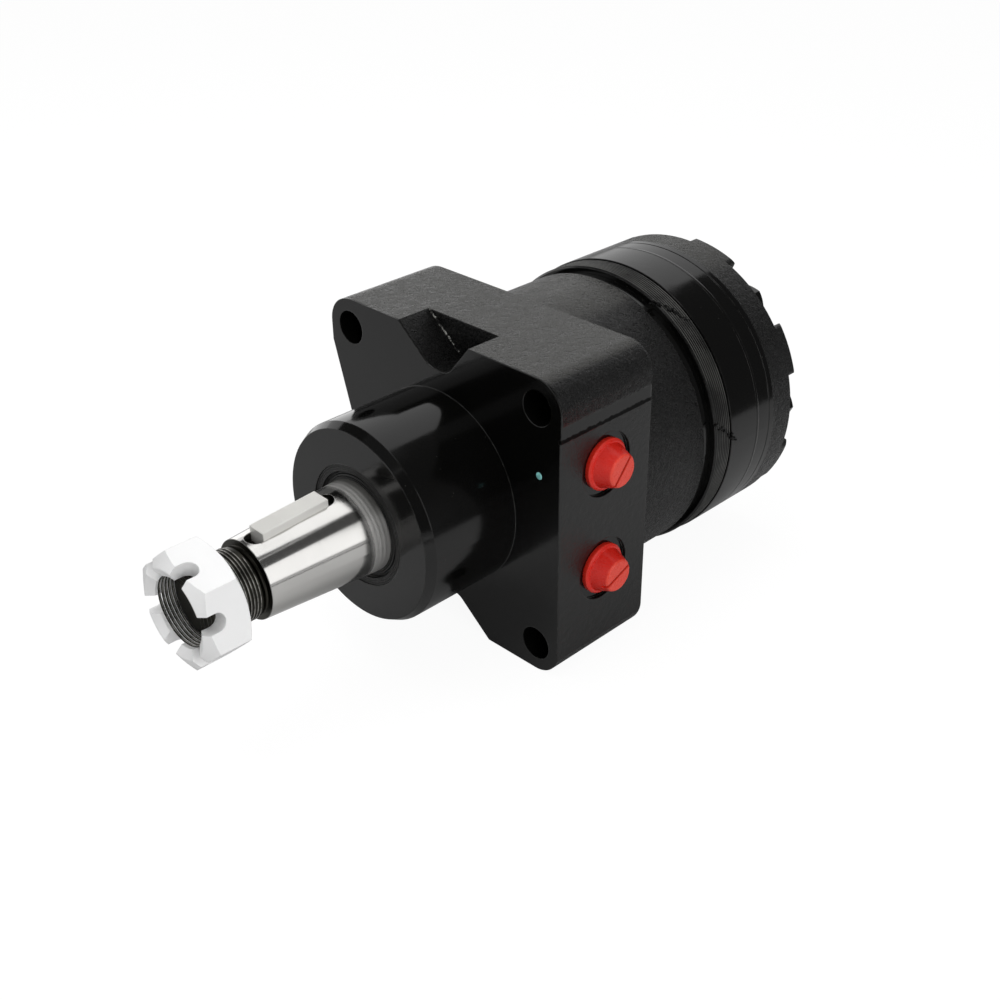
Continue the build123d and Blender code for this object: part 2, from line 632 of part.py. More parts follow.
def stator_ring():
    body = plate(STATOR_Y, MANIFOLD_Y, RING_R, STATOR_BORE_R, RING_EDGE)
    for angle in ROLLER_ANGLES:
        body -= rod(ROLLER_R + RUN, STATOR_Y - CUT, MANIFOLD_Y + CUT, *polar(ROLLER_PCR, angle))
    return with_galleries(body, STATOR_Y, MANIFOLD_Y)


def stator_roller(angle):
    return rod(ROLLER_R, STATOR_Y + FACE_GAP, MANIFOLD_Y - FACE_GAP, *polar(ROLLER_PCR, angle))


def manifold():
    body = plate(MANIFOLD_Y, COVER_Y, RING_R, MANIFOLD_BORE_R, RING_EDGE)
    body -= seal_groove(MANIFOLD_Y - CUT, MANIFOLD_Y + SEAL_DEPTH)
    body -= seal_groove(COVER_Y - SEAL_DEPTH, COVER_Y + CUT)
    for angle in BOLT_ANGLES:
        body -= rod(MANIFOLD_PORT_R, MANIFOLD_Y - CUT, COVER_Y + CUT, *polar(MANIFOLD_PORT_PCR, angle))
    return with_galleries(body, MANIFOLD_Y, COVER_Y)


def body_seals():
    inner, outer = SEAL_R - SEAL_WIDTH / 2, SEAL_R + SEAL_WIDTH / 2
    fronts = (WEAR_Y, STATOR_Y - SEAL_DEPTH, MANIFOLD_Y, COVER_Y - SEAL_DEPTH)
    return [tube(outer, inner, y, y + SEAL_DEPTH) for y in fronts]


# ---- rotor and drive ----
def rotor_outline(y):
    """Closed curve that stays in touch with every roller as the rotor orbits."""
    shift = math.radians(ORBIT_ANGLE - BOLT_COUNT * ROLLER_START)
    offset = ROLLER_R + ROTOR_CLEAR
    points = []
    count = (BOLT_COUNT - 1) * ROTOR_POINT_COUNT
    for k in range(count):
        t = 2 * math.pi * k / count
        turn_t = BOLT_COUNT * t + shift
        x = ROLLER_PCR * math.cos(t) - ECCENTRIC * math.cos(turn_t)
        z = ROLLER_PCR * math.sin(t) - ECCENTRIC * math.sin(turn_t)
        dx = -ROLLER_PCR * math.sin(t) + BOLT_COUNT * ECCENTRIC * math.sin(turn_t)
        dz = ROLLER_PCR * math.cos(t) - BOLT_COUNT * ECCENTRIC * math.cos(turn_t)
        speed = math.hypot(dx, dz)
        points.append((ORBIT_X + x - offset * dz / speed, y, ORBIT_Z + z + offset * dx / speed))
    return Spline(*points, periodic=True)


def rotor():
    y0, y1 = STATOR_Y + FACE_GAP, MANIFOLD_Y - FACE_GAP
    body = extrude(make_face(rotor_outline(y0)), amount=y1 - y0, dir=(0, 1, 0))
    body -= Pos(ORBIT_X, 0, ORBIT_Z) * spline_hole(y0 - CUT, y1 + CUT)
    return body - rod(PLUG_DISC_R, y1 - PLUG_DISC_T, y1 + CUT, ORBIT_X, ORBIT_Z)


def rotor_journal():
    """Plug pressed into the rotor's rear; its pin turns the valve through an eccentric bore."""
    y1 = MANIFOLD_Y - FACE_GAP
    disc = rod(PLUG_DISC_R, y1 - PLUG_DISC_T, y1, ORBIT_X, ORBIT_Z)
    return disc + rod(VALVE_BORE_R - RUN, y1 - PLUG_DISC_T, COVER_Y + JOURNAL_PIN_L, ORBIT_X, ORBIT_Z)


def spline_band(y0, y1, start):
    """Band of outer teeth with chamfered ends."""
    teeth = slab(spline_corners(LINK_TIP_R, LINK_ROOT_R, TOOTH_HALF, start), y0, y1)
    return teeth & turned([(y0, 0), (y0, LINK_TIP_R - BAND_CHAMFER), (y0 + BAND_CHAMFER, LINK_TIP_R + NEAR),
                           (y1 - BAND_CHAMFER, LINK_TIP_R + NEAR), (y1, LINK_TIP_R - BAND_CHAMFER), (y1, 0)])


def drive_link():
    """Dog-bone shaft leaning from the shaft axis at its front to the rotor axis at its rear."""
    front = (FRONT_BAND_Y + FRONT_BAND_END) / 2
    rear = (REAR_BAND_Y + REAR_BAND_END) / 2
    start = 90 - ORBIT_ANGLE
    front_tip, rear_tip = LINK_TIPS
    body = spline_band(FRONT_BAND_Y, FRONT_BAND_END, start)
    body += spline_band(REAR_BAND_Y, REAR_BAND_END, start)
    body += rod(LINK_BODY_R, FRONT_BAND_Y - front_tip, REAR_BAND_END + rear_tip)
    lean = math.degrees(math.atan2(ECCENTRIC, rear - front))
    leaning = Pos(0, front, 0) * Rot(lean, 0, 0) * Pos(0, -front, 0) * body
    return turn(leaning, ORBIT_ANGLE - 90)


# ---- valve and cover ----
def kidney(middle):
    """Curved groove in the valve's face, as a prism with straight steps."""
    corners = []
    for radius, step in ((KIDNEY_R - KIDNEY_W / 2, 1), (KIDNEY_R + KIDNEY_W / 2, -1)):
        for k in range(-KIDNEY_STEP_COUNT, KIDNEY_STEP_COUNT + 1):
            corners.append(polar(radius, middle + step * k * KIDNEY_HALF / KIDNEY_STEP_COUNT))
    return slab(corners, COVER_Y - CUT, COVER_Y + KIDNEY_DEPTH)


def rotary_valve():
    y0 = COVER_Y + FACE_GAP
    body = rod(VALVE_R, y0, y0 + VALVE_T)
    body -= rod(VALVE_BORE_R, y0 - CUT, y0 + VALVE_T + CUT, ORBIT_X, ORBIT_Z)
    for side in (90, -90):
        body -= kidney(ORBIT_ANGLE + side)
    return body


def valve_ring():
    return tube(VALVE_RING_R, VALVE_R + RUN, COVER_Y, BALANCE_Y)


def balance_plate():
    return tube(VALVE_RING_R - BALANCE_CLEAR, BALANCE_BORE_R, BALANCE_Y, SPRING_Y)


def disc_spring():
    inner, outer = SPRING_R
    rise = SPRING_T - SPRING_THICK
    return turned([(SPRING_Y, outer), (SPRING_Y + SPRING_THICK, outer), (SPRING_Y + SPRING_T, inner),
                   (SPRING_Y + rise, inner)])


def cover_lugs():
    """Rear stretch of the cover, open at every bolt, with the lugs' outer corners rounded."""
    body = rod(RING_R, SEAT_Y, COVER_END)
    wide = RING_R / math.cos(math.radians(COVER_POCKET_HALF)) + CUT
    for angle in BOLT_ANGLES:
        low, high = angle - COVER_POCKET_HALF, angle + COVER_POCKET_HALF
        pocket = [polar(COVER_POCKET_R, low), polar(wide, low),
                  polar(wide, high), polar(COVER_POCKET_R, high)]
        body -= slab(pocket, SEAT_Y - CUT, COVER_END + CUT)
    rim = [edge for edge in body.edges().filter_by(Axis.Y)
           if math.hypot(edge.center().X, edge.center().Z) > RING_R - COVER_LUG_ROUND]
    return fillet(rim, COVER_LUG_ROUND)


def end_cover():
    body = rod(RING_R, COVER_Y, SEAT_Y) + cover_lugs()
    body &= turned([(COVER_Y, 0), (COVER_Y, RING_R - PLATE_EDGE), (COVER_Y + PLATE_EDGE, RING_R),
                    (COVER_END - COVER_EDGE, RING_R), (COVER_END, RING_R - COVER_EDGE), (COVER_END, 0)])
    body -= rod(VALVE_RING_R, COVER_Y - CUT, SPRING_Y + SPRING_T)
    for hole in cover_bolt_holes(COVER_Y - CUT, SEAT_Y + CUT, COVER_BOLT_HOLE_R):
        body -= hole
    return body


def cover_bolt(angle):
    x, z = polar(COVER_BOLT_PCR, angle)
    head_end = SEAT_Y + COVER_BOLT_HEAD
    chamfer_l, chamfer_r = BOLT_HEAD_CHAMFER
    head = hexagon(COVER_BOLT_AF, SEAT_Y, head_end, BOLT_TURN)
    corner = COVER_BOLT_AF / math.sqrt(3)
    head &= turned([(SEAT_Y, 0), (SEAT_Y, corner), (head_end - chamfer_l, corner),
                    (head_end, corner - chamfer_r), (head_end, 0)])
    shank = rod(COVER_BOLT_R, HOUSING_END - COVER_BOLT_REACH, head_end - chamfer_l)
    return Pos(x, 0, z) * turn(head + shank, angle)


# ---- port plugs ----
def port_plug(side):
    """Push-in plug: a hollow shank in the port, a flange on its seat and a slotted, tapered head."""
    back = PORT_FACE_X - PORT_SPOT_DEPTH + FACE_GAP
    face = back + PLUG_FLANGE_T
    tip = PORT_FACE_X + PLUG_HEAD_H
    shank_r = PORT_BORE_R - RUN
    shank_end = back - PLUG_SHANK_L
    root_r, tip_r = PLUG_HEAD_R
    body = Rot(0, 0, -90) * turned([
        (shank_end, 0), (shank_end, shank_r), (back, shank_r), (back, PLUG_FLANGE_R),
        (face - PLUG_CHAMFER, PLUG_FLANGE_R), (face, PLUG_FLANGE_R - PLUG_CHAMFER), (face, root_r),
        (tip - PLUG_TIP_CHAMFER, tip_r), (tip, tip_r - PLUG_TIP_CHAMFER), (tip, 0)])
    body -= rod_x(shank_r - PLUG_WALL, shank_end - CUT, back, 0, 0)
    slot = Pos(tip - PLUG_SLOT_DEPTH, 0, 0) * Box(
        PLUG_SLOT_DEPTH + CUT, PLUG_SLOT_W, 2 * PLUG_FLANGE_R, align=(Align.MIN, Align.CENTER, Align.CENTER))
    body -= Rot(PLUG_SLOT_TURNS[side], 0, 0) * slot
    return Pos(0, PORT_Y, side * PORT_HALF) * body


# ---- write every node ----
def save(node, *solids):
    shape = solids[0] if len(solids) == 1 else Compound(children=list(solids))
    export_step(shape, f"parts/{node}.step")


os.makedirs("parts", exist_ok=True)

save("housing", housing())
save("dust_seal", dust_seal())
save("seal_snap_ring", seal_snap_ring())
save("shaft_seal", shaft_seal())
save("backup_washer", backup_washer())
save("output_shaft", output_shaft())
save("shaft_key", shaft_key())
save("castle_nut", castle_nut())
for end, y, mirrored in (("front", FRONT_BEARING_Y, False), ("rear", REAR_BEARING_Y, True)):
    save(f"{end}_bearing_cup", facing(bearing_cup(), y, mirrored))
    save(f"{end}_bearing_cone", facing(bearing_cone(), y, mirrored))
    save(f"{end}_bearing_cage", facing(bearing_cage(), y, mirrored))
    save(f"{end}_bearing_rollers", *[facing(roller, y, mirrored) for roller in bearing_rollers()])
save("rear_snap_ring", rear_snap_ring())
save("wear_plate", wear_plate())
save("stator_ring", stator_ring())
for number, angle in enumerate(ROLLER_ANGLES, 1):
    save(f"stator_roller_{number}", stator_roller(angle))
save("rotor", rotor())
save("rotor_journal", rotor_journal())
save("drive_link", drive_link())
save("manifold", manifold())
save("body_seals", *body_seals())
save("rotary_valve", rotary_valve())
save("valve_ring", valve_ring())
save("balance_plate", balance_plate())
save("disc_spring", disc_spring())
save("end_cover", end_cover())
save("cover_bolts", *[cover_bolt(angle) for angle in BOLT_ANGLES])
save("upper_port_plug", port_plug(1))
save("lower_port_plug", port_plug(-1))
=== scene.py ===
"""Finishes for the hydraulic motor: painted castings, ground steel, threads, ridges and a plain studio."""

import math

import bmesh
import bpy
from bpy.props import FloatProperty, FloatVectorProperty, IntProperty, PointerProperty
from mathutils import Matrix, Vector


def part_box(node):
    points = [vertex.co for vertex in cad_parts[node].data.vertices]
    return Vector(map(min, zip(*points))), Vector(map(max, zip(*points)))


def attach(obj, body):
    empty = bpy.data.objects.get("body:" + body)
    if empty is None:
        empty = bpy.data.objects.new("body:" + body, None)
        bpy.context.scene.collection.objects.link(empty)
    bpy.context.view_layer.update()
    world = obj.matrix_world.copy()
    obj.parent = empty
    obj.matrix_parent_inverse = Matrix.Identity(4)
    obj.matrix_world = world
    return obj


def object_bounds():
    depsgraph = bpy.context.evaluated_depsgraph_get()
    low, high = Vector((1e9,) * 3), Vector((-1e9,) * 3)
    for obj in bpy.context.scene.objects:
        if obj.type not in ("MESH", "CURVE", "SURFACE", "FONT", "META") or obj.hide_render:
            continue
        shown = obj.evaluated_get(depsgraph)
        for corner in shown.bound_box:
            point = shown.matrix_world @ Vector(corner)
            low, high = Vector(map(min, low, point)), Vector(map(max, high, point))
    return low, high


bl_info = {
    "name": "Hydraulic motor finishes",
    "version": (1, 0, 0),
    "blender": (4, 5, 0),
    "location": "3D View > Sidebar > Motor",
    "description": "Materials, threads and small details of a hydraulic motor, and its studio",
    "category": "Object",
}

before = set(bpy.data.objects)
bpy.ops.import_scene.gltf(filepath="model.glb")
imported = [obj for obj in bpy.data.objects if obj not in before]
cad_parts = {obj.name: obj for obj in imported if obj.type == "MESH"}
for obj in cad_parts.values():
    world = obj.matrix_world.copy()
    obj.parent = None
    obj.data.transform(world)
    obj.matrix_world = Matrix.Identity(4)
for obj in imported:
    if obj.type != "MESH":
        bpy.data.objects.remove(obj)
CAD_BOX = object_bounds()

MM = 0.001
FLANGE_FACE_Y = 0.0  # the flange's front face holds the frame's origin
PORT_FACE_X = 63.8 * MM
PORT_FACE_TOP = 41.6 * MM
SHADE_LINE_TOP = PORT_FACE_TOP + 1.8 * MM  # a rough painted shade line lies between these two heights
SMOOTH_TOP = PORT_FACE_TOP + 6.0 * MM  # and a smooth strip above it
TAPER_TIP_Y = -96.5 * MM  # small end of the shaft's taper
THREAD_START_Y = -99.1 * MM  # rear end of the shaft's thread
THREAD_PITCH_R = 13.83 * MM
NUT_BORE_R = 13.88 * MM
NUT_SINK_L = 2.1 * MM  # countersink in the nut's front
BARREL_GROOVE_L = 6 * MM  # the housing's last, smooth stretch
DUST_AND_SHEEN_LOW = 57 * MM  # dust and a painted top sheen lie on upward skin above this height
UPWARD = (0.86, 0.985)  # upward share of the skin's direction, from where the dust and painted sheen start to where they cover
MACHINED_GRAIN = 0.003  # share of the cast grain's depth that machined faces keep
ROUGHEST_GRAIN = 1.3  # and what the roughest cast places add to it
PORT_Y, PORT_Z, SPOTFACE_R = 26 * MM, 23.4 * MM, 13.4 * MM
PORT_SIDE_X = 40 * MM  # the port bores' skin is smooth beyond this
HOLE_OFFSET, HOLE_R = 52.2 * MM, 7.05 * MM
RELIEF_HALF = 38 * MM  # half the width in which the flange's top relief lies
RELIEF_LOW_Z, RELIEF_TOP_Z = 40 * MM, 63.9 * MM
RELIEF_BACK_Y = 53 * MM
KEYWAY_DEPTH = 0.4 * MM  # deeper than this under the taper is inside the keyway
TAPER_START_Y, TAPER_START_R, TAPER_TIP_R = -45.9 * MM, 19.05 * MM, 15.89 * MM
SHAFT_TIP_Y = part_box("output_shaft")[0].y
NUT_LOW, NUT_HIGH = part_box("castle_nut")
WEAR_LOW, WEAR_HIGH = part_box("wear_plate")
RING_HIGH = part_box("stator_ring")[1]
COVER_FRONT_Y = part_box("end_cover")[0].y
PLUG_TIP_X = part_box("upper_port_plug")[1].x
DUST_SEAL_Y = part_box("dust_seal")[0].y
NECK_DIP = 0.9 * MM  # hollow of the neck behind the thread
OIL_L = 5 * MM  # oil in front of the seal reaches this far along the shaft
OIL_RAGGED = 1.2 * MM  # and its edge wanders by this
OIL_LOW_Z, OIL_HIGH_Z = 9 * MM, 15 * MM  # that oil thickens between these heights
LAND_L = 9.0 * MM  # the shaft's land that the seal's lip has rubbed
LAND_RING_STEP = 1.9 * MM
SEAL_RING_STEP = 0.85 * MM  # from one moulded ring of the seals to the next
WEAR_R = WEAR_HIGH.x
RING_R = RING_HIGH.x
GROOVE_START = WEAR_LOW.y - BARREL_GROOVE_L
DOT_CENTRE = Vector((53.4 * MM, FLANGE_FACE_Y, 24.7 * MM))
DOT_RISE = 0.25 * MM
DROP_ANGLE = 80  # edges of blobs and drops are sharp over this angle in degrees
DRY_PATCHES = (0.45, 0.62, 0.2, 0.00008)  # patches of wear from and to, least roughness and depth of dried paint; on the bead the paler patches are a painted highlight

SPECK_COLOUR = (0.10, 0.10, 0.09)  # of dust specks on paint
WORN_PAINT = (0.22, 0.22, 0.20)  # where an edge shows through the paint
# dark of oil, and of painted shade on the thread and neck; it also darkens the keyway
OIL_AND_SHADE_COLOUR = (0.050, 0.048, 0.040)
# dark colours of the threads' valleys: painted shade
THREAD_VALLEY_SHADE = ((0.050, 0.048, 0.042), (0.022, 0.021, 0.018))
THREAD_CREST = (0.62, 0.61, 0.57)
# paler colour of the wear plate ridges' crests: painted highlight
RIDGE_CREST_HIGHLIGHT = (0.075, 0.075, 0.070)
# paler colour of the plugs' edges, tip and foot: painted highlight and reflection
PLUG_HIGHLIGHT = (0.9, 0.16, 0.10)
# metal share of the painted shade line along the port face's upper edge
SHADE_LINE_METAL = 0.94

CASTINGS = ("housing",)
SMOOTH_PLATES = ("stator_ring", "manifold")
HIDDEN_STEEL = ("rotor", "rotor_journal", "drive_link", "rotary_valve", "valve_ring", "balance_plate",
                "backup_washer", "front_bearing_cup", "front_bearing_cone", "front_bearing_rollers",
                "rear_bearing_cup", "rear_bearing_cone", "rear_bearing_rollers",
                *[f"stator_roller_{k}" for k in range(1, 8)])
SPRING_STEEL = ("seal_snap_ring", "rear_snap_ring", "disc_spring")
CAGES = ("front_bearing_cage", "rear_bearing_cage")
RUBBER = ("dust_seal", "shaft_seal", "body_seals")
PLUGS = ("upper_port_plug", "lower_port_plug")


# ---- settings ----
class MotorPaintSettings(bpy.types.PropertyGroup):
    colour: FloatVectorProperty(
        name="Paint colour", description="Colour of the gloss paint",
        subtype="COLOR", size=3, min=0, max=1, default=(0.0018, 0.0018, 0.0017))
    machined_roughness: FloatProperty(
        name="Machined roughness", description="Roughness over machined faces", min=0, max=1, default=0.10)
    cast_roughness: FloatProperty(
        name="Cast roughness", description="Roughness over the cast skin", min=0, max=1, default=0.15)
    grain: FloatProperty(
        name="Grain", description="Size of the cast skin's grain",
        unit="LENGTH", min=0.0002, max=0.01, default=0.0011)
    grain_depth: FloatProperty(
        name="Grain depth", description="Depth of the cast skin's grain",
        unit="LENGTH", min=0, max=0.004, default=0.0011)
    # dust and a painted sheen: this colour makes upward skin high on the motor paler, as if lit from above
    dust_and_sheen_colour: FloatVectorProperty(
        name="Dust colour", description="Colour that settled dust gives to upward skin",
        subtype="COLOR", size=3, min=0, max=1, default=(0.034, 0.0335, 0.0305))
    edge_round: FloatProperty(
        name="Edge rounding", description="Radius that the paint gives to edges",
        unit="LENGTH", min=0, max=0.003, default=0.0006)


class MotorSteelSettings(bpy.types.PropertyGroup):
    shaft_colour: FloatVectorProperty(
        name="Shaft colour", description="Colour of ground steel",
        subtype="COLOR", size=3, min=0, max=1, default=(0.74, 0.73, 0.71))
    shaft_roughness: FloatProperty(
        name="Shaft roughness", description="Roughness of ground steel", min=0, max=1, default=0.12)
    zinc_colour: FloatVectorProperty(
        name="Zinc colour", description="Colour of the plated nut",
        subtype="COLOR", size=3, min=0, max=1, default=(0.95, 0.95, 0.95))
    zinc_roughness: FloatProperty(
        name="Zinc roughness", description="Roughness of the plated nut", min=0, max=1, default=0.42)


class MotorThreadSettings(bpy.types.PropertyGroup):
    pitch: FloatProperty(
        name="Pitch", description="Distance from one thread crest to the next",
        unit="LENGTH", min=0.0005, max=0.006, default=25.4 * MM / 18)
    ridge: FloatProperty(
        name="Ridge", description="Height of a thread ridge",
        unit="LENGTH", min=0.0001, max=0.002, default=0.43 * MM)
    steps: IntProperty(name="Steps", description="Straight steps in one turn", min=12, max=200, default=72)


class MotorRidgeSettings(bpy.types.PropertyGroup):
    count: IntProperty(
        name="Ridges", description="Turned ridges on the wear plate's rim", min=1, max=40, default=8)
    height: FloatProperty(
        name="Height", description="Height of a ridge over the rim",
        unit="LENGTH", min=0.00005, max=0.002, default=0.4 * MM)
    film: FloatProperty(
        name="Seam film", description="Thickness of the paint over the seam behind the stator ring",
        unit="LENGTH", min=0.00001, max=0.001, default=0.012 * MM)
    film_width: FloatProperty(
        name="Film width", description="Width of the paint over that seam",
        unit="LENGTH", min=0.0002, max=0.01, default=1.6 * MM)


class MotorMarkSettings(bpy.types.PropertyGroup):
    dot_radius: FloatProperty(
        name="Dot radius", description="Radius of the inspection paint dot",
        unit="LENGTH", min=0.0005, max=0.01, default=1.5 * MM)
    dot_colour: FloatVectorProperty(
        name="Dot colour", description="Colour of the inspection paint dot",
        subtype="COLOR", size=3, min=0, max=1, default=(0.25, 0.62, 0.60))
    run_drop: FloatProperty(
        name="Run drop", description="Largest radius of the drops in a paint run",
        unit="LENGTH", min=0.0001, max=0.002, default=0.8 * MM)
    bead_drop: FloatProperty(
        name="Bead drop", description="Largest radius of the drops along the relief's corner",
        unit="LENGTH", min=0.0001, max=0.002, default=0.6 * MM)


class MotorPlugSettings(bpy.types.PropertyGroup):
    colour: FloatVectorProperty(
        name="Plug colour", description="Colour of the moulded plugs",
        subtype="COLOR", size=3, min=0, max=1, default=(0.54, 0.008, 0.003))


class MotorStageSettings(bpy.types.PropertyGroup):
    world_strength: FloatProperty(
        name="World light", description="Strength of the even light", min=0, max=5, default=0.45)
    gloss_sky: FloatProperty(
        name="Sky in the gloss", description="Brightness of the surroundings in reflections",
        min=0, max=3, default=0.85)
    key_power: FloatProperty(
        name="Key light", description="Power of the overhead softbox",
        unit="POWER", min=0, max=500, default=6.0)
    side_power: FloatProperty(
        name="Side light", description="Power of the softbox on the port side",
        unit="POWER", min=0, max=500, default=5.5)
    lens: FloatProperty(
        name="Lens", description="Focal length in millimetres", min=10, max=300, default=50.12)


# ---- meshes ----
def linked(name, data):
    """New object, linked to the scene."""
    made = bpy.data.objects.new(name, data)
    bpy.context.scene.collection.objects.link(made)
    return made


def add_object(name, mesh, material, body):
    """Link a finished mesh that lies in the row frame and let it ride on its body."""
    piece = linked(name, mesh)
    mesh.materials.clear()
    mesh.materials.append(material)
    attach(piece, body)


def tidy_mesh(mesh, sharp_angle=35.0):
    """Outward faces, smooth shading and sharp edges over an angle."""
    work = bmesh.new()
    work.from_mesh(mesh)
    bmesh.ops.remove_doubles(work, verts=work.verts, dist=1e-7)
    bmesh.ops.recalc_face_normals(work, faces=work.faces)
    work.to_mesh(mesh)
    work.free()
    for face in mesh.polygons:
        face.use_smooth = True
    mesh.set_sharp_from_angle(angle=math.radians(sharp_angle))
    return mesh


def grown(name, tree, values):
    """Run a geometry tree on an empty mesh and return the plain mesh that it makes."""
    holder = linked(name + "_holder", bpy.data.meshes.new(name + "_seed"))
    modifier = holder.modifiers.new(name, "NODES")
    modifier.node_group = tree
    names = {item.name: item.identifier for item in tree.interface.items_tree
             if item.item_type == "SOCKET" and item.in_out == "INPUT"}
    for label, value in values.items():
        modifier[names[label]] = value
    bpy.context.view_layer.update()
    evaluated = holder.evaluated_get(bpy.context.evaluated_depsgraph_get())
    mesh = bpy.data.meshes.new_from_object(evaluated)
    mesh.name = name
    holder.modifiers.remove(modifier)
    bpy.data.objects.remove(holder)
    return mesh


def socket(tree, name, kind, direction="INPUT", default=None):
    item = tree.interface.new_socket(name=name, in_out=direction, socket_type="NodeSocket" + kind)
    if default is not None:
        item.default_value = default


def geometry_tree(name, inputs):
    """Empty geometry tree with named inputs, a material after them, and one geometry output."""
    tree = bpy.data.node_groups.new(name, "GeometryNodeTree")
    for label, kind, default in (*inputs, ("Material", "Material", None)):
        socket(tree, label, kind, default=default)
    socket(tree, "Geometry", "Geometry", "OUTPUT")
    return tree, tree.nodes.new("NodeGroupInput"), tree.nodes.new("NodeGroupOutput")


def feed(tree, target, value):
    """Link a socket or set a plain value."""
    if isinstance(value, bpy.types.NodeSocket):
        tree.links.new(value, target)
    else:
        target.default_value = value


def node(tree, kind, inputs=None, **options):
    made = tree.nodes.new(kind)
    for key, value in options.items():
        setattr(made, key, value)
    for key, value in (inputs or {}).items():
        feed(tree, made.inputs[key], value)
    return made


def maths(tree, operation, *values, clamp=False):
    made = node(tree, "ShaderNodeMath", operation=operation, use_clamp=clamp)
    for place, value in enumerate(values):
        feed(tree, made.inputs[place], value)
    return made.outputs[0]


def times(tree, first, *others, clamp=False):
    """Product of two or more values, from left to right."""
    for other in others:
        first = maths(tree, "MULTIPLY", first, other, clamp=clamp)
    return first


def axes(tree, vector):
    """The x, y and z sockets of a vector."""
    return node(tree, "ShaderNodeSeparateXYZ", {"Vector": vector}).outputs


def joined(tree, x=0.0, y=0.0, z=0.0):
    """Vector of three values."""
    return node(tree, "ShaderNodeCombineXYZ", {"X": x, "Y": y, "Z": z}).outputs[0]


def length_of(tree, vector):
    return node(tree, "ShaderNodeVectorMath", {0: vector}, operation="LENGTH").outputs["Value"]


def finish_tree(tree, geometry, material, output):
    """The tree's last two steps: real geometry with its material."""
    real = node(tree, "GeometryNodeRealizeInstances", {"Geometry": geometry})
    painted = node(tree, "GeometryNodeSetMaterial", {"Geometry": real.outputs[0], "Material": material})
    tree.links.new(painted.outputs[0], output.inputs["Geometry"])


def trapezoid(tree, foot, half_foot, crest, half_crest):
    """Closed profile with a wide foot at one reach and a narrow crest at another."""
    corners = {}
    sides = ((foot, half_foot, -1), (crest, half_crest, -1), (crest, half_crest, 1), (foot, half_foot, 1))
    for place, (reach, half, side) in enumerate(sides, 1):
        corners[f"Point {place}"] = joined(tree, reach, times(tree, half, side))
    return node(tree, "GeometryNodeCurvePrimitiveQuadrilateral", corners, mode="POINTS").outputs[0]


def thread_tree():
    """Helical ridge along Y from a start: it points outwards, or inwards where the ridge is negative."""
    tree, given, output = geometry_tree("thread", [
        ("Radius", "Float", 0.0138), ("Pitch", "Float", 0.0014), ("Turns", "Float", 9.0),
        ("Ridge", "Float", 0.0004), ("Steps", "Int", 72), ("Start", "Float", 0.0)])
    value = given.outputs
    spiral = node(tree, "GeometryNodeCurveSpiral", {
        "Resolution": value["Steps"], "Rotations": value["Turns"], "Start Radius": value["Radius"],
        "End Radius": value["Radius"], "Height": times(tree, value["Pitch"], value["Turns"])})
    turned = node(tree, "GeometryNodeSetCurveNormal", {"Curve": spiral.outputs[0]}, mode="Z_UP")
    profile = trapezoid(tree, times(tree, value["Ridge"], 0.15), times(tree, value["Pitch"], 0.42),
                        times(tree, value["Ridge"], -1), times(tree, value["Pitch"], 0.07))
    swept = node(tree, "GeometryNodeCurveToMesh", {
        "Curve": turned.outputs[0], "Profile Curve": profile, "Fill Caps": True})
    laid = node(tree, "GeometryNodeTransform", {
        "Geometry": swept.outputs[0], "Translation": joined(tree, y=value["Start"]),
        "Rotation": (math.radians(-90), 0, 0)})
    finish_tree(tree, laid.outputs[0], value["Material"], output)
    return tree


def ridge_tree():
    """Equal rings about the Y axis, evenly spaced from a start."""
    tree, given, output = geometry_tree("turned_ridges", [
        ("Radius", "Float", 0.06), ("Height", "Float", 0.0004), ("Width", "Float", 0.001),
        ("Crest", "Float", 0.14), ("Count", "Int", 8), ("Start", "Float", 0.0), ("Step", "Float", 0.001)])
    value = given.outputs
    circle = node(tree, "GeometryNodeCurvePrimitiveCircle", {"Resolution": 256, "Radius": value["Radius"]})
    profile = trapezoid(tree, times(tree, value["Height"], -0.3), times(tree, value["Width"], 0.5),
                        value["Height"], times(tree, value["Width"], value["Crest"]))
    ring = node(tree, "GeometryNodeCurveToMesh", {"Curve": circle.outputs[0], "Profile Curve": profile})
    line = node(tree, "GeometryNodeMeshLine", {
        "Count": value["Count"], "Start Location": joined(tree, y=value["Start"]),
        "Offset": joined(tree, y=value["Step"])})
    copies = node(tree, "GeometryNodeInstanceOnPoints", {
        "Points": line.outputs[0], "Instance": ring.outputs[0], "Rotation": (math.radians(90), 0, 0)})
    finish_tree(tree, copies.outputs[0], value["Material"], output)
    return tree


def random_vector(tree, low, high, seed):
    made = node(tree, "FunctionNodeRandomValue", data_type="FLOAT_VECTOR")
    feed(tree, made.inputs[0], low)
    feed(tree, made.inputs[1], high)
    feed(tree, made.inputs["Seed"], seed)
    return made.outputs[0]


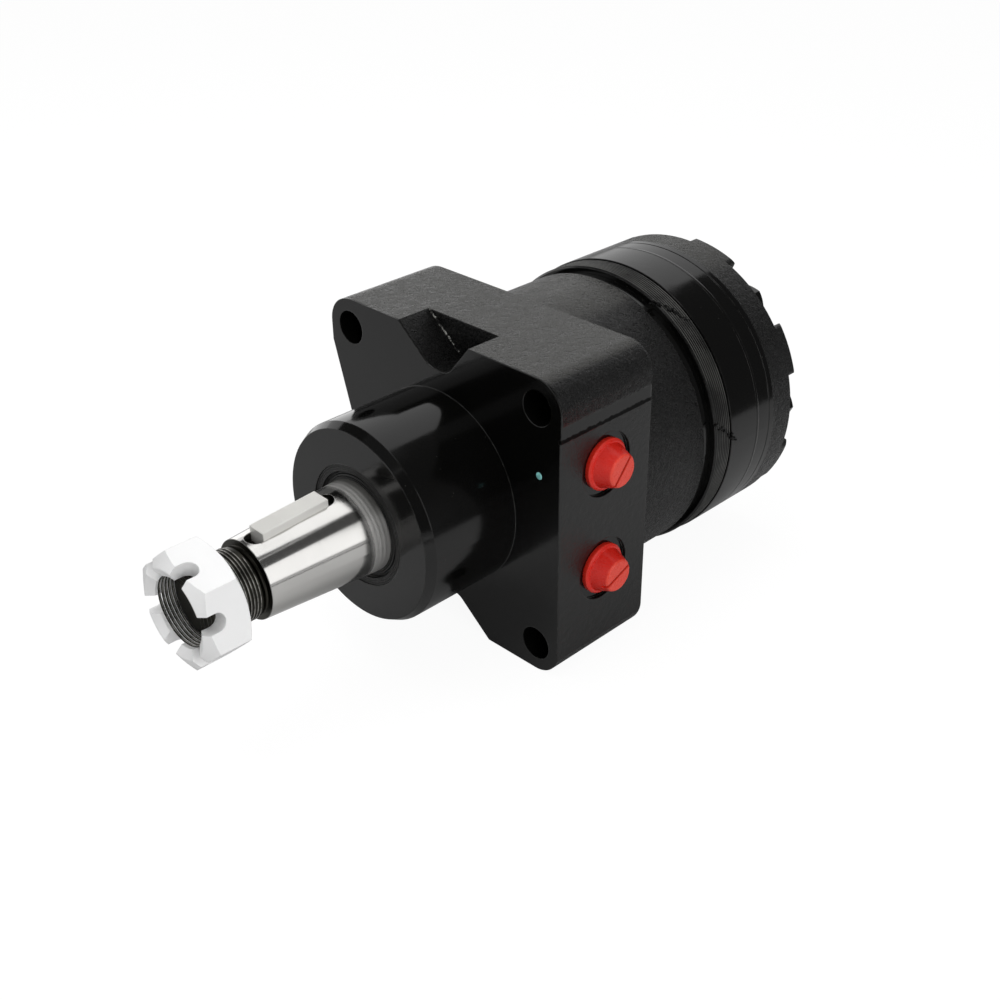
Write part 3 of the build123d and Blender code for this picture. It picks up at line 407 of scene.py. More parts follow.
def drops_tree():
    """Drops of uneven size crowded along a bent line, as dried paint leaves them."""
    tree, given, output = geometry_tree("paint_drops", [
        ("Start", "Vector", None), ("Bend", "Vector", None), ("End", "Vector", None), ("Count", "Int", 30),
        ("Drop", "Float", 0.0006), ("Scatter", "Float", 0.0006), ("Seed", "Int", 1)])
    value = given.outputs
    line = node(tree, "GeometryNodeCurveQuadraticBezier", {
        "Start": value["Start"], "Middle": value["Bend"], "End": value["End"]})
    points = node(tree, "GeometryNodeCurveToPoints", {
        "Curve": line.outputs[0], "Count": value["Count"]}, mode="COUNT")
    far = value["Scatter"]
    back = times(tree, far, -1)
    away = random_vector(tree, joined(tree, back, back, back), joined(tree, far, far, far), value["Seed"])
    strewn = node(tree, "GeometryNodeSetPosition", {"Geometry": points.outputs[0], "Offset": away})
    drop = node(tree, "GeometryNodeMeshIcoSphere", {"Radius": value["Drop"], "Subdivisions": 2})
    size = random_vector(tree, (0.35, 0.35, 0.35), (1.0, 1.0, 1.0), value["Seed"])
    copies = node(tree, "GeometryNodeInstanceOnPoints", {
        "Points": strewn.outputs[0], "Instance": drop.outputs[0], "Scale": size})
    finish_tree(tree, copies.outputs[0], value["Material"], output)
    return tree


# ---- shader groups ----
def shader_group(name, inputs, outputs):
    """Empty shader group with named inputs, and outputs that are single values."""
    group = bpy.data.node_groups.new(name, "ShaderNodeTree")
    for label, kind, default in inputs:
        socket(group, label, kind, default=default)
    for label in outputs:
        socket(group, label, "Float", "OUTPUT")
    return group, group.nodes.new("NodeGroupInput"), group.nodes.new("NodeGroupOutput")


def noise(tree, vector, scale, detail=3.0, roughness=0.55):
    made = node(tree, "ShaderNodeTexNoise", {
        "Vector": vector, "Scale": scale, "Detail": detail, "Roughness": roughness})
    return made.outputs["Fac"]


def ramp(tree, value, low, high, to_low=0.0, to_high=1.0):
    """Smooth step from one value to another."""
    made = node(tree, "ShaderNodeMapRange", {
        "Value": value, "From Min": low, "From Max": high, "To Min": to_low, "To Max": to_high},
        interpolation_type="SMOOTHSTEP")
    return made.outputs["Result"]


GRAIN_CENTRE = -0.22  # brings the grain's mean height to about nought, so that it can fade out evenly


def cast_skin_group():
    """Grain of a sand casting under paint: crowded, slightly drawn-out bumps and finer ones between them."""
    group, given, output = shader_group("cast_skin", [
        ("Vector", "Vector", None), ("Grain", "Float", 0.001)],
        ["Height", "Mask"])
    scale = maths(group, "DIVIDE", 1.0, given.outputs["Grain"])
    drawn = node(group, "ShaderNodeMapping", {
        "Vector": given.outputs["Vector"], "Scale": (1.4, 1.0, 1.0), "Rotation": (0, 0, math.radians(45))},
        vector_type="TEXTURE")
    fine = noise(group, drawn.outputs[0], times(group, scale, 1.1), 3.0, 0.65)
    coarse = noise(group, drawn.outputs[0], times(group, scale, 0.42), 2.0, 0.55)
    sharp = maths(group, "ABSOLUTE", maths(group, "SUBTRACT", fine, 0.5))
    crowded = maths(group, "MULTIPLY_ADD", sharp, -1.3, times(group, coarse, 0.7))
    group.links.new(maths(group, "ADD", crowded, GRAIN_CENTRE), output.inputs["Height"])
    group.links.new(ramp(group, crowded, 0.14, 0.30), output.inputs["Mask"])
    return group


def turned_lines_group():
    """Fine tool lines around the shaft axis, of uneven depth."""
    group, given, output = shader_group("turned_lines", [
        ("Vector", "Vector", None), ("Lines", "Float", 3000.0)],
        ["Height", "Mask"])
    line = joined(group, y=axes(group, given.outputs["Vector"])[1])
    fine = noise(group, line, given.outputs["Lines"], 2.0, 0.7)
    band = noise(group, line, times(group, given.outputs["Lines"], 0.12), 1.0, 0.5)
    broken = noise(group, given.outputs["Vector"], 60.0, 2.0, 0.5)
    height = times(group, fine, ramp(group, broken, 0.3, 0.7, 0.5, 1.0))
    group.links.new(height, output.inputs["Height"])
    group.links.new(band, output.inputs["Mask"])
    return group


def edge_band_group():
    """Where a rounded normal leaves the surface's own: a mask along edges, broken up by noise."""
    group, given, output = shader_group("edge_band", [
        ("Vector", "Vector", None), ("Rounded", "Vector", None), ("Flat", "Vector", None),
        ("Spread", "Float", 0.02)], ["Mask"])
    match = node(group, "ShaderNodeVectorMath", operation="DOT_PRODUCT")
    group.links.new(given.outputs["Rounded"], match.inputs[0])
    group.links.new(given.outputs["Flat"], match.inputs[1])
    bend = maths(group, "SUBTRACT", 1.0, match.outputs["Value"])
    edge = maths(group, "DIVIDE", bend, given.outputs["Spread"], clamp=True)
    broken = ramp(group, noise(group, given.outputs["Vector"], 350.0, 4.0, 0.65), 0.42, 0.62)
    group.links.new(times(group, edge, broken, clamp=True), output.inputs["Mask"])
    return group


def dust_group():
    """Dust specks and faint smears that a clean part gathers on a bench."""
    group, given, output = shader_group("bench_dust", [
        ("Vector", "Vector", None), ("Amount", "Float", 0.3)], ["Mask", "Smear"])
    where = given.outputs["Vector"]
    specks = node(group, "ShaderNodeTexVoronoi", {"Vector": where, "Scale": 420.0})
    small = ramp(group, specks.outputs["Distance"], 0.10, 0.05)
    some = ramp(group, noise(group, where, 90.0, 2.0), 0.5, 0.66)
    mask = times(group, small, times(group, some, given.outputs["Amount"]), clamp=True)
    smear = ramp(group, noise(group, where, 28.0, 5.0, 0.6), 0.35, 0.7)
    group.links.new(mask, output.inputs["Mask"])
    group.links.new(smear, output.inputs["Smear"])
    return group


GROUPS = {}


def build_groups():
    GROUPS["cast_skin"] = cast_skin_group()
    GROUPS["turned_lines"] = turned_lines_group()
    GROUPS["edge_band"] = edge_band_group()
    GROUPS["dust"] = dust_group()


def placed(tree, name, where, **inputs):
    """Sockets of a shader group that works on a position, with its other inputs."""
    made = node(tree, "ShaderNodeGroup")
    made.node_tree = GROUPS[name]
    for key, value in {"Vector": where, **inputs}.items():
        feed(tree, made.inputs[key], value)
    return made.outputs


def plain_material(name):
    """Material with an empty tree, and the surface socket of its output."""
    material = bpy.data.materials.new(name)
    material.use_nodes = True
    tree = material.node_tree
    tree.nodes.clear()
    return material, tree, node(tree, "ShaderNodeOutputMaterial").inputs["Surface"]


def start_material(name):
    """Material with its output, a Principled shader and object coordinates."""
    material, tree, surface = plain_material(name)
    shader = node(tree, "ShaderNodeBsdfPrincipled")
    tree.links.new(shader.outputs[0], surface)
    return material, tree, shader, node(tree, "ShaderNodeTexCoord").outputs["Object"]


def finish_shader(tree, shader, colour, roughness, normal):
    feed(tree, shader.inputs["Base Color"], colour)
    feed(tree, shader.inputs["Roughness"], roughness)
    tree.links.new(normal, shader.inputs["Normal"])


def opaque(colour):
    """A plain colour with its alpha; a socket stays as it is."""
    return colour if isinstance(colour, bpy.types.NodeSocket) else (*colour, 1)


def mix_colour(tree, mask, first, second):
    made = node(tree, "ShaderNodeMix", data_type="RGBA")
    feed(tree, made.inputs[0], mask)
    feed(tree, made.inputs[6], opaque(first))
    feed(tree, made.inputs[7], opaque(second))
    return made.outputs[2]


def mix_value(tree, mask, first, second):
    made = node(tree, "ShaderNodeMix", data_type="FLOAT")
    feed(tree, made.inputs[0], mask)
    feed(tree, made.inputs[2], first)
    feed(tree, made.inputs[3], second)
    return made.outputs[0]


def bump(tree, height, distance, normal):
    made = node(tree, "ShaderNodeBump", {"Height": height, "Distance": distance, "Strength": 1.0})
    if normal is not None:
        tree.links.new(normal, made.inputs["Normal"])
    return made.outputs[0]


def rounded_edges(tree, where, radius, spread):
    """Normal that rounds edges by a radius, the surface's own normal, and a mask along the edges, for wear
    and for painted edge light.
    """
    rounded = node(tree, "ShaderNodeBevel", {"Radius": radius}, samples=6).outputs[0]
    own = node(tree, "ShaderNodeNewGeometry").outputs["Normal"]
    wear = placed(tree, "edge_band", where, Rounded=rounded, Flat=own, Spread=spread)
    return rounded, own, wear["Mask"]


# ---- materials ----
def paint(name, settings, cast_mask, grain=1.0, lines=None, shade_line_mask=None, edge=None):
    """Gloss paint. cast_mask(tree, where) gives 0 on machined faces, 1 on cast skin, more on the roughest."""
    material, tree, shader, where = start_material(name)
    rounded, own, wear = rounded_edges(tree, where, settings.edge_round if edge is None else edge, 0.12)
    skin = placed(tree, "cast_skin", where, Grain=settings.grain * grain)
    dust = placed(tree, "dust", where, Amount=0.35)
    mask = cast_mask(tree, where)
    # dust and a painted top sheen: upward skin above a height turns paler, standing in for light on the top
    high = ramp(tree, axes(tree, where)[2], DUST_AND_SHEEN_LOW, DUST_AND_SHEEN_LOW + 3 * MM)
    open_skin = times(tree, high, ramp(tree, axes(tree, own)[2], *UPWARD))
    settled = times(tree, open_skin, mask, clamp=True)
    settled = times(tree, settled, ramp(tree, skin["Mask"], 0.0, 1.0, 0.4, 1.0))
    shader.inputs["IOR"].default_value = 1.5
    with_dust_and_sheen = mix_colour(tree, settled, settings.colour, settings.dust_and_sheen_colour)
    specked = mix_colour(tree, dust["Mask"], with_dust_and_sheen, SPECK_COLOUR)
    colour = mix_colour(tree, times(tree, wear, 0.10), specked, WORN_PAINT)
    smooth = mix_value(tree, dust["Smear"], settings.machined_roughness, settings.machined_roughness * 1.5)
    rough = mix_value(tree, skin["Mask"], settings.cast_roughness, settings.cast_roughness * 2.2)
    roughness = mix_value(tree, maths(tree, "MINIMUM", mask, 1.0), smooth, rough)
    depth = maths(tree, "MULTIPLY_ADD", mask, settings.grain_depth, settings.grain_depth * MACHINED_GRAIN)
    normal = bump(tree, times(tree, skin["Height"], depth), 1.0, rounded)
    if lines:
        turned = placed(tree, "turned_lines", where, Lines=lines)
        normal = bump(tree, turned["Height"], 0.00004, normal)
    # painted shade: dark metal darkens a line along the port face's upper edge
    if shade_line_mask:
        shade_line = shade_line_mask(tree, where)
        feed(tree, shader.inputs["Metallic"], times(tree, shade_line, SHADE_LINE_METAL))
        roughness = mix_value(tree, shade_line, roughness, 0.5)
    finish_shader(tree, shader, colour, roughness, normal)
    return material


def housing_cast_mask(tree, where):
    """Cast skin off the nose, the front face, the port side and the last stretch; it is roughest in the
    top relief and at the ports' top corner."""
    x, y, z = axes(tree, where)
    behind = ramp(tree, y, 0.5 * MM, 1.2 * MM)
    before_groove = ramp(tree, y, GROOVE_START, GROOVE_START - 0.4 * MM)
    off_side = ramp(tree, x, PORT_FACE_X + 0.05 * MM, PORT_FACE_X - 0.15 * MM)
    above = ramp(tree, z, SMOOTH_TOP, SMOOTH_TOP + 2.5 * MM)
    side = maths(tree, "MAXIMUM", off_side, above)
    skin = times(tree, behind, before_groove, side, outside_bores(tree, x, y, z))
    corner = times(tree, ramp(tree, x, PORT_FACE_X - 9 * MM, PORT_FACE_X - 3 * MM), above)
    middle = ramp(tree, maths(tree, "ABSOLUTE", x), RELIEF_HALF, RELIEF_HALF - 2 * MM)
    sunk = times(tree, ramp(tree, z, RELIEF_TOP_Z, RELIEF_TOP_Z - 0.5 * MM),
                 ramp(tree, z, RELIEF_LOW_Z, RELIEF_LOW_Z + 4 * MM))
    relief = times(tree, middle, sunk, ramp(tree, y, RELIEF_BACK_Y, RELIEF_BACK_Y - 1 * MM))
    roughest = maths(tree, "MAXIMUM", corner, relief)
    return times(tree, skin, maths(tree, "MULTIPLY_ADD", roughest, ROUGHEST_GRAIN, 1.0))


def outside_disc(tree, across, centre, up, level, radius):
    """0 within a radius of a centre and 1 outside it."""
    spot = joined(tree, maths(tree, "SUBTRACT", across, centre), maths(tree, "SUBTRACT", up, level))
    return ramp(tree, length_of(tree, spot), radius + 0.05 * MM, radius + 0.25 * MM)


def outside_bores(tree, x, y, z):
    """0 inside the port spotfaces and the mounting holes, 1 elsewhere."""
    high = maths(tree, "ABSOLUTE", z)
    wide = maths(tree, "ABSOLUTE", x)
    off_ports = maths(tree, "MAXIMUM", maths(tree, "LESS_THAN", x, PORT_SIDE_X),
                      outside_disc(tree, y, PORT_Y, high, PORT_Z, SPOTFACE_R))
    return times(tree, off_ports, outside_disc(tree, wide, HOLE_OFFSET, high, HOLE_OFFSET, HOLE_R))


def port_edge_shade_mask(tree, where):
    """Painted shade: a rough dark line along the port face's upper edge, where the step's shade falls."""
    x, _, z = axes(tree, where)
    uneven = maths(tree, "SUBTRACT", noise(tree, where, 420.0, 4.0, 0.7), 0.5)
    height = maths(tree, "ADD", z, times(tree, uneven, 2.6 * MM))
    band = times(tree, ramp(tree, height, PORT_FACE_TOP - 0.2 * MM, PORT_FACE_TOP + 0.2 * MM),
                 ramp(tree, height, SHADE_LINE_TOP + 0.2 * MM, SHADE_LINE_TOP - 0.2 * MM))
    return times(tree, band, ramp(tree, x, PORT_FACE_X - 1.5 * MM, PORT_FACE_X - 0.5 * MM))


def cover_cast_mask(tree, where):
    """Cast skin on the cover but for a turned strip beside its seam."""
    return ramp(tree, axes(tree, where)[1], COVER_FRONT_Y + 2.5 * MM, COVER_FRONT_Y + 5.0 * MM)


def no_cast_mask(tree, where):
    """Machined all over, with a trace of orange peel in the paint."""
    return ramp(tree, noise(tree, where, 40.0), 0.5, 0.9, 0.0, 0.08)


def steel(name, colour, roughness, lines, depth, edge=0.0003, stain=0.25, wear_and_light_colour=(0.9, 0.9, 0.88), metal=1.0,
          oil_and_shade_mask=None):
    """Bare or plated steel with tool lines, coloured edges (wear; on the nut a painted dark line) and faint
    stains; oil_and_shade_mask(tree, where) blackens it.
    """
    material, tree, shader, where = start_material(name)
    rounded, _, wear = rounded_edges(tree, where, edge, 0.1)
    turned = placed(tree, "turned_lines", where, Lines=lines)
    dust = placed(tree, "dust", where, Amount=0.2)
    shader.inputs["Metallic"].default_value = metal
    dull = [c * 0.78 for c in colour]
    stained = mix_colour(tree, times(tree, dust["Smear"], stain), colour, dull)
    # along the edges the given colour: wear on most steel, painted shade on the nut
    colours = mix_colour(tree, times(tree, wear, 0.5), stained, wear_and_light_colour)
    rough = mix_value(tree, turned["Mask"], roughness * 0.75, roughness * 1.3)
    normal = bump(tree, turned["Height"], depth, rounded)
    if oil_and_shade_mask:
        oil, land, dip = oil_and_shade_mask(tree, where)
        # darkened with oil and painted shade
        colours = mix_colour(tree, oil, colours, OIL_AND_SHADE_COLOUR)
        rough = mix_value(tree, oil, mix_value(tree, land, rough, 0.42), 0.33)
        feed(tree, shader.inputs["Metallic"], mix_value(tree, land, metal, 0.65))
        normal = bump(tree, dip, 1.0, normal)
    finish_shader(tree, shader, colours, rough, normal)
    return material


def shaft_oil_and_shade_mask(tree, where):
    """Oil and painted shade on thread and neck, darkening in the keyway, thin oil at the seal, the rubbed
    land before the seal, and the neck's hollow as a height."""
    _, y, z = axes(tree, where)
    # oil and painted shade: thread and neck darken beyond the taper's small end
    thread = ramp(tree, y, TAPER_TIP_Y + 0.1 * MM, TAPER_TIP_Y - 0.2 * MM)
    ragged = maths(tree, "MULTIPLY_ADD", noise(tree, where, 160.0, 3.0), OIL_RAGGED, y)
    seal = times(tree, ramp(tree, ragged, DUST_SEAL_Y - OIL_L, DUST_SEAL_Y + 0.6 * MM, 0.0, 0.8),
                 ramp(tree, z, OIL_LOW_Z, OIL_HIGH_Z, 0.15, 1.0))
    oil = maths(tree, "MAXIMUM", maths(tree, "MAXIMUM", thread, seal), keyway_mask(tree, where, y))
    return oil, rubbed_land(tree, y), neck_hollow(tree, y)


def keyway_mask(tree, where, y):
    """Nearly 1 where the skin lies deeper than the taper's, as it does in the keyway."""
    slope = (TAPER_START_R - TAPER_TIP_R) / (TAPER_START_Y - TAPER_TIP_Y)
    skin = maths(tree, "MULTIPLY_ADD", maths(tree, "SUBTRACT", y, TAPER_TIP_Y), slope, TAPER_TIP_R)
    depth = maths(tree, "SUBTRACT", skin, axis_distance(tree, where))
    sunk = ramp(tree, depth, KEYWAY_DEPTH * 0.5, KEYWAY_DEPTH, 0.0, 0.9)
    return times(tree, sunk, maths(tree, "LESS_THAN", y, DUST_SEAL_Y))


def rubbed_land(tree, y):
    """Faint rings on the land where the seal's lip has rubbed it."""
    land = ramp(tree, y, DUST_SEAL_Y - LAND_L, DUST_SEAL_Y - LAND_L + 3 * MM)
    rings = maths(tree, "SINE", times(tree, y, 2 * math.pi / LAND_RING_STEP))
    return times(tree, land, maths(tree, "MULTIPLY_ADD", rings, 0.15, 0.7))


def neck_hollow(tree, y):
    """Height of the hollow neck, lowest midway between the taper and the thread."""
    middle = (TAPER_TIP_Y + THREAD_START_Y) / 2
    half = (TAPER_TIP_Y - THREAD_START_Y) / 2
    reach = maths(tree, "DIVIDE", maths(tree, "SUBTRACT", y, middle), half)
    inside = ramp(tree, maths(tree, "ABSOLUTE", reach), 1.0, 0.9)
    return times(tree, reach, reach, NECK_DIP, inside)


def axis_distance(tree, where):
    """Distance from the shaft axis."""
    flat = node(tree, "ShaderNodeVectorMath", {0: where, 1: (1, 0, 1)}, operation="MULTIPLY")
    return length_of(tree, flat.outputs[0])


def crested(name, crest_from, crest_to, valleys, crest_colour, metal, patches):
    """Valleys and paler crests, told apart by the distance from the shaft axis: the threads' dark valleys are
    painted shade, and the ridges' paler crests, in patches, a painted highlight.
    """
    material, tree, shader, where = start_material(name)
    dust = placed(tree, "dust", where, Amount=0.3)
    crest = times(tree, ramp(tree, axis_distance(tree, where), crest_from, crest_to),
                  ramp(tree, noise(tree, where, patches, 3.0), 0.3, 0.6, 0.25, 1.0))
    shader.inputs["Metallic"].default_value = metal
    dark = mix_colour(tree, dust["Smear"], *valleys)
    finish_shader(tree, shader, mix_colour(tree, crest, dark, crest_colour),
                  mix_value(tree, dust["Smear"], 0.25, 0.4), bump(tree, dust["Smear"], 0.00002, None))
    return material


def rubber(name):
    """Black moulded rubber with a fine matt grain and raised rings about the shaft."""
    material, tree, shader, where = start_material(name)
    skin = placed(tree, "cast_skin", where, Grain=0.0004)
    dust = placed(tree, "dust", where, Amount=0.6)
    rings = maths(tree, "SINE", times(tree, axis_distance(tree, where), 2 * math.pi / SEAL_RING_STEP))
    ringed = bump(tree, rings, 0.00012, None)
    finish_shader(tree, shader, mix_colour(tree, dust["Mask"], (0.004, 0.004, 0.0035), (0.06, 0.06, 0.055)),
                  mix_value(tree, skin["Mask"], 0.32, 0.45), bump(tree, skin["Height"], 0.00003, ringed))
    return material


def moulded_plastic(name, colour):
    """Soft moulded plastic: satin, a little light inside, paler at its edges and its tip as a painted
    highlight, and at its foot as a painted reflection.
    """
    material, tree, shader, where = start_material(name)
    rounded, _, wear = rounded_edges(tree, where, 0.0005, 0.15)
    skin = placed(tree, "cast_skin", where, Grain=0.0006)
    dust = placed(tree, "dust", where, Amount=0.4)
    x = axes(tree, where)[0]
    # painted highlight on the tip, painted reflection at the foot and painted highlight on the edges
    tip = ramp(tree, x, PLUG_TIP_X - 1.2 * MM, PLUG_TIP_X - 0.2 * MM, 0.0, 0.26)
    foot = ramp(tree, x, PORT_FACE_X + 1.3 * MM, PORT_FACE_X + 0.4 * MM, 0.0, 0.08)
    lighter = [c * gain for c, gain in zip(colour, (1.12, 1.5, 1.5))]
    uneven = mix_colour(tree, dust["Smear"], colour, lighter)
    pale = maths(tree, "MAXIMUM", times(tree, wear, 0.12), maths(tree, "MAXIMUM", tip, foot))
    shader.inputs["Subsurface Weight"].default_value = 0.08
    shader.inputs["Subsurface Radius"].default_value = (0.002, 0.0006, 0.0004)
    finish_shader(tree, shader, mix_colour(tree, pale, uneven, PLUG_HIGHLIGHT),
                  mix_value(tree, skin["Mask"], 0.22, 0.32), bump(tree, skin["Height"], 0.00005, rounded))
    return material


def dried_paint(name, colour, wear_and_light_colour, patch_from, patch_to, least_rough, depth):
    """Gloss paint dried in a blob or in drops, another colour in patches: the dot wears duller, and the
    bead's paler patches are a painted highlight.
    """
    material, tree, shader, where = start_material(name)
    patch = noise(tree, where, 900.0, 3.0)
    finish_shader(tree, shader, mix_colour(tree, ramp(tree, patch, patch_from, patch_to), colour, wear_and_light_colour),
                  mix_value(tree, patch, least_rough, 0.5), bump(tree, patch, depth, None))
    return material


def dress(names, material):
    """Give CAD nodes a material."""
    for name in names:
        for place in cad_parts[name].material_slots:
            place.material = material


# ---- operators ----
class MOTOR_OT_paint_castings(bpy.types.Operator):
    """Paint the housing, the plates, the cover and its bolts"""
    bl_idname = "motor.paint_castings"
    bl_label = "Paint the castings"

    def execute(self, context):
        settings = context.scene.motor_paint
        dress(CASTINGS, paint("housing_paint", settings, housing_cast_mask, shade_line_mask=port_edge_shade_mask))
        dress(("end_cover",), paint("cover_paint", settings, cover_cast_mask, grain=0.8))
        dress(SMOOTH_PLATES, paint("ring_paint", settings, no_cast_mask, lines=1500.0, edge=0.0002))
        dress(("wear_plate",), paint("ridge_paint", settings, no_cast_mask, lines=2600.0))
        dress(("cover_bolts",), paint("bolt_paint", settings, no_cast_mask, grain=0.6))
        return {"FINISHED"}


class MOTOR_OT_finish_steel(bpy.types.Operator):
    """Grind the shaft, plate the nut and finish the steel inside"""
    bl_idname = "motor.finish_steel"
    bl_label = "Finish the steel"

    def execute(self, context):
        settings = context.scene.motor_steel
        dress(("output_shaft",), steel("ground_shaft", settings.shaft_colour, settings.shaft_roughness,
                                       5200.0, 0.000004, oil_and_shade_mask=shaft_oil_and_shade_mask))
        dress(("shaft_key",), steel("key_steel", (0.93, 0.92, 0.88), 0.34, 1800.0, 0.00001, metal=0.5))
        # the nut's edges take a darker colour: a painted dark line where the flats meet
        dress(("castle_nut",), steel(
            "zinc_plate", settings.zinc_colour, settings.zinc_roughness, 900.0, 0.00001,
            edge=0.0004, stain=0.12, wear_and_light_colour=(0.5, 0.5, 0.49), metal=0.28))
        dress(HIDDEN_STEEL, steel("hardened_steel", (0.50, 0.50, 0.50), 0.25, 2400.0, 0.000008))
        dress(SPRING_STEEL, steel("spring_steel", (0.26, 0.27, 0.30), 0.35, 1600.0, 0.000012))
        dress(CAGES, steel("pressed_steel", (0.42, 0.42, 0.41), 0.4, 1200.0, 0.000015))
        return {"FINISHED"}


class MOTOR_OT_mould_plugs(bpy.types.Operator):
    """Give the port plugs their moulded plastic and the seals their rubber"""
    bl_idname = "motor.mould_plugs"
    bl_label = "Mould plugs and seals"

    def execute(self, context):
        dress(PLUGS, moulded_plastic("plug_plastic", context.scene.motor_plugs.colour))
        dress(RUBBER, rubber("seal_rubber"))
        return {"FINISHED"}


class MOTOR_OT_cut_threads(bpy.types.Operator):
    """Stand thread ridges on the shaft's end and in the nut"""
    bl_idname = "motor.cut_threads"
    bl_label = "Cut the threads"

    def execute(self, context):
        settings = context.scene.motor_threads
        tree = thread_tree()
        margin = 0.6 * settings.pitch
        crest = settings.ridge * 0.75
        spans = (("shaft_thread", THREAD_PITCH_R, 1, SHAFT_TIP_Y, THREAD_START_Y, "ground_steel"),
                 ("nut_thread", NUT_BORE_R, -1, NUT_LOW.y + NUT_SINK_L, NUT_HIGH.y, "zinc"))
        for name, radius, side, front, back, slot in spans:
            # the threads' dark valleys are painted shade
            material = crested(name + "_steel", radius + side * crest, radius + side * settings.ridge,
                               THREAD_VALLEY_SHADE, THREAD_CREST, 1.0, 700.0)
            length = back - front - 2 * margin
            mesh = grown(name, tree, {
                "Radius": radius, "Pitch": settings.pitch, "Turns": length / settings.pitch,
                "Ridge": side * settings.ridge, "Steps": settings.steps, "Start": front + margin,
                "Material": material})
            add_object(name, tidy_mesh(mesh), material, "shaft")
        return {"FINISHED"}


class MOTOR_OT_turn_ridges(bpy.types.Operator):
    """Turn fine ridges round the wear plate's rim and lay paint over the seam behind the stator ring"""
    bl_idname = "motor.turn_ridges"
    bl_label = "Turn the ridges"

    def execute(self, context):
        settings = context.scene.motor_ridges
        tree = ridge_tree()
        step = (WEAR_HIGH.y - WEAR_LOW.y) / (settings.count + 0.5)
        black = (*context.scene.motor_paint.colour,)
        top = WEAR_R + settings.height
        # the ridges' paler crests are a painted highlight
        material = crested("ridge_crest_paint", top - 0.16 * MM, top - 0.02 * MM, (black, black),
                           RIDGE_CREST_HIGHLIGHT, 0.0, 70.0)
        mesh = grown("wear_plate_ridges", tree, {
            "Radius": WEAR_R, "Height": settings.height, "Width": step * 0.8, "Crest": 0.14,
            "Count": settings.count, "Start": WEAR_LOW.y + step * 0.75, "Step": step, "Material": material})
        add_object("wear_plate_ridges", tidy_mesh(mesh), material, "casing")
        film = paint("seam_film_paint", context.scene.motor_paint, no_cast_mask, lines=1500.0, edge=0.0001)
        mesh = grown("stator_seam_film", tree, {
            "Radius": RING_R, "Height": settings.film, "Width": settings.film_width, "Crest": 0.38,
            "Count": 1, "Start": RING_HIGH.y, "Step": 0.0, "Material": film})
        add_object("stator_seam_film", tidy_mesh(mesh), film, "casing")
        return {"FINISHED"}


def blob(centre, normal, radius, height, rings=6, sides=24):
    """Low dome with a closed, flat back."""
    work = bmesh.new()
    up = normal.to_track_quat("Z", "Y").to_matrix()
    top = work.verts.new(centre + up @ Vector((0, 0, height)))
    turns = [2 * math.pi * k / sides for k in range(sides)]
    rows = []
    for ring in range(1, rings + 1):
        share = ring / rings
        rise = height * math.cos(share * math.pi / 2)
        reach = radius * math.sin(share * math.pi / 2)
        level = [Vector((reach * math.cos(turn), reach * math.sin(turn), rise)) for turn in turns]
        rows.append([work.verts.new(centre + up @ point) for point in level])
    for k in range(sides):
        work.faces.new((top, rows[0][k], rows[0][(k + 1) % sides]))
    for inner, outer in zip(rows, rows[1:]):
        for k in range(sides):
            after = (k + 1) % sides
            work.faces.new((inner[k], outer[k], outer[after], inner[after]))
    work.faces.new(list(reversed(rows[-1])))
    mesh = bpy.data.meshes.new("blob")
    work.to_mesh(mesh)
    work.free()
    return mesh


RELIEF_TOP = Vector((-22.3, 16.3, 64.0)) * MM  # inner corner of the top relief
RELIEF_FOOT = Vector((-5.8, 16.3, 50.3)) * MM
# name, then angle about the axis, distance along it and radius at the start, middle and end, and a seed
PAINT_RUNS = (
    ("upper_paint_run", (65.5, 94.5, 63.2), (59.5, 98.6, 63.5), (53.0, 103.0, 63.6), 2),
    ("lower_paint_run", (12.0, 96.0, 63.2), (7.5, 101.5, 63.5), (2.5, 107.5, 64.2), 3),
)
RUN_DROPS, RUN_SCATTER = 44, 0.8 * MM
BEAD_DROPS, BEAD_SCATTER, BEAD_SEED = 90, 0.3 * MM, 5
# paler patches of the bead along the relief's corner: painted highlight
BEAD_HIGHLIGHT = (0.30, 0.30, 0.28)


def around(angle, along, radius):
    """Point at an angle about the shaft axis, with lengths in millimetres."""
    turn = math.radians(angle)
    return Vector((radius * math.cos(turn), along, radius * math.sin(turn))) * MM


def lay_drops(name, tree, points, count, drop, scatter, seed, material):
    """Drops of dried paint along the bent line through three points."""
    start, middle, end = points
    mesh = grown(name, tree, {
        "Start": start, "Bend": middle * 2 - (start + end) / 2, "End": end, "Count": count,
        "Drop": drop, "Scatter": scatter, "Seed": seed, "Material": material})
    add_object(name, tidy_mesh(mesh, DROP_ANGLE), material, "casing")


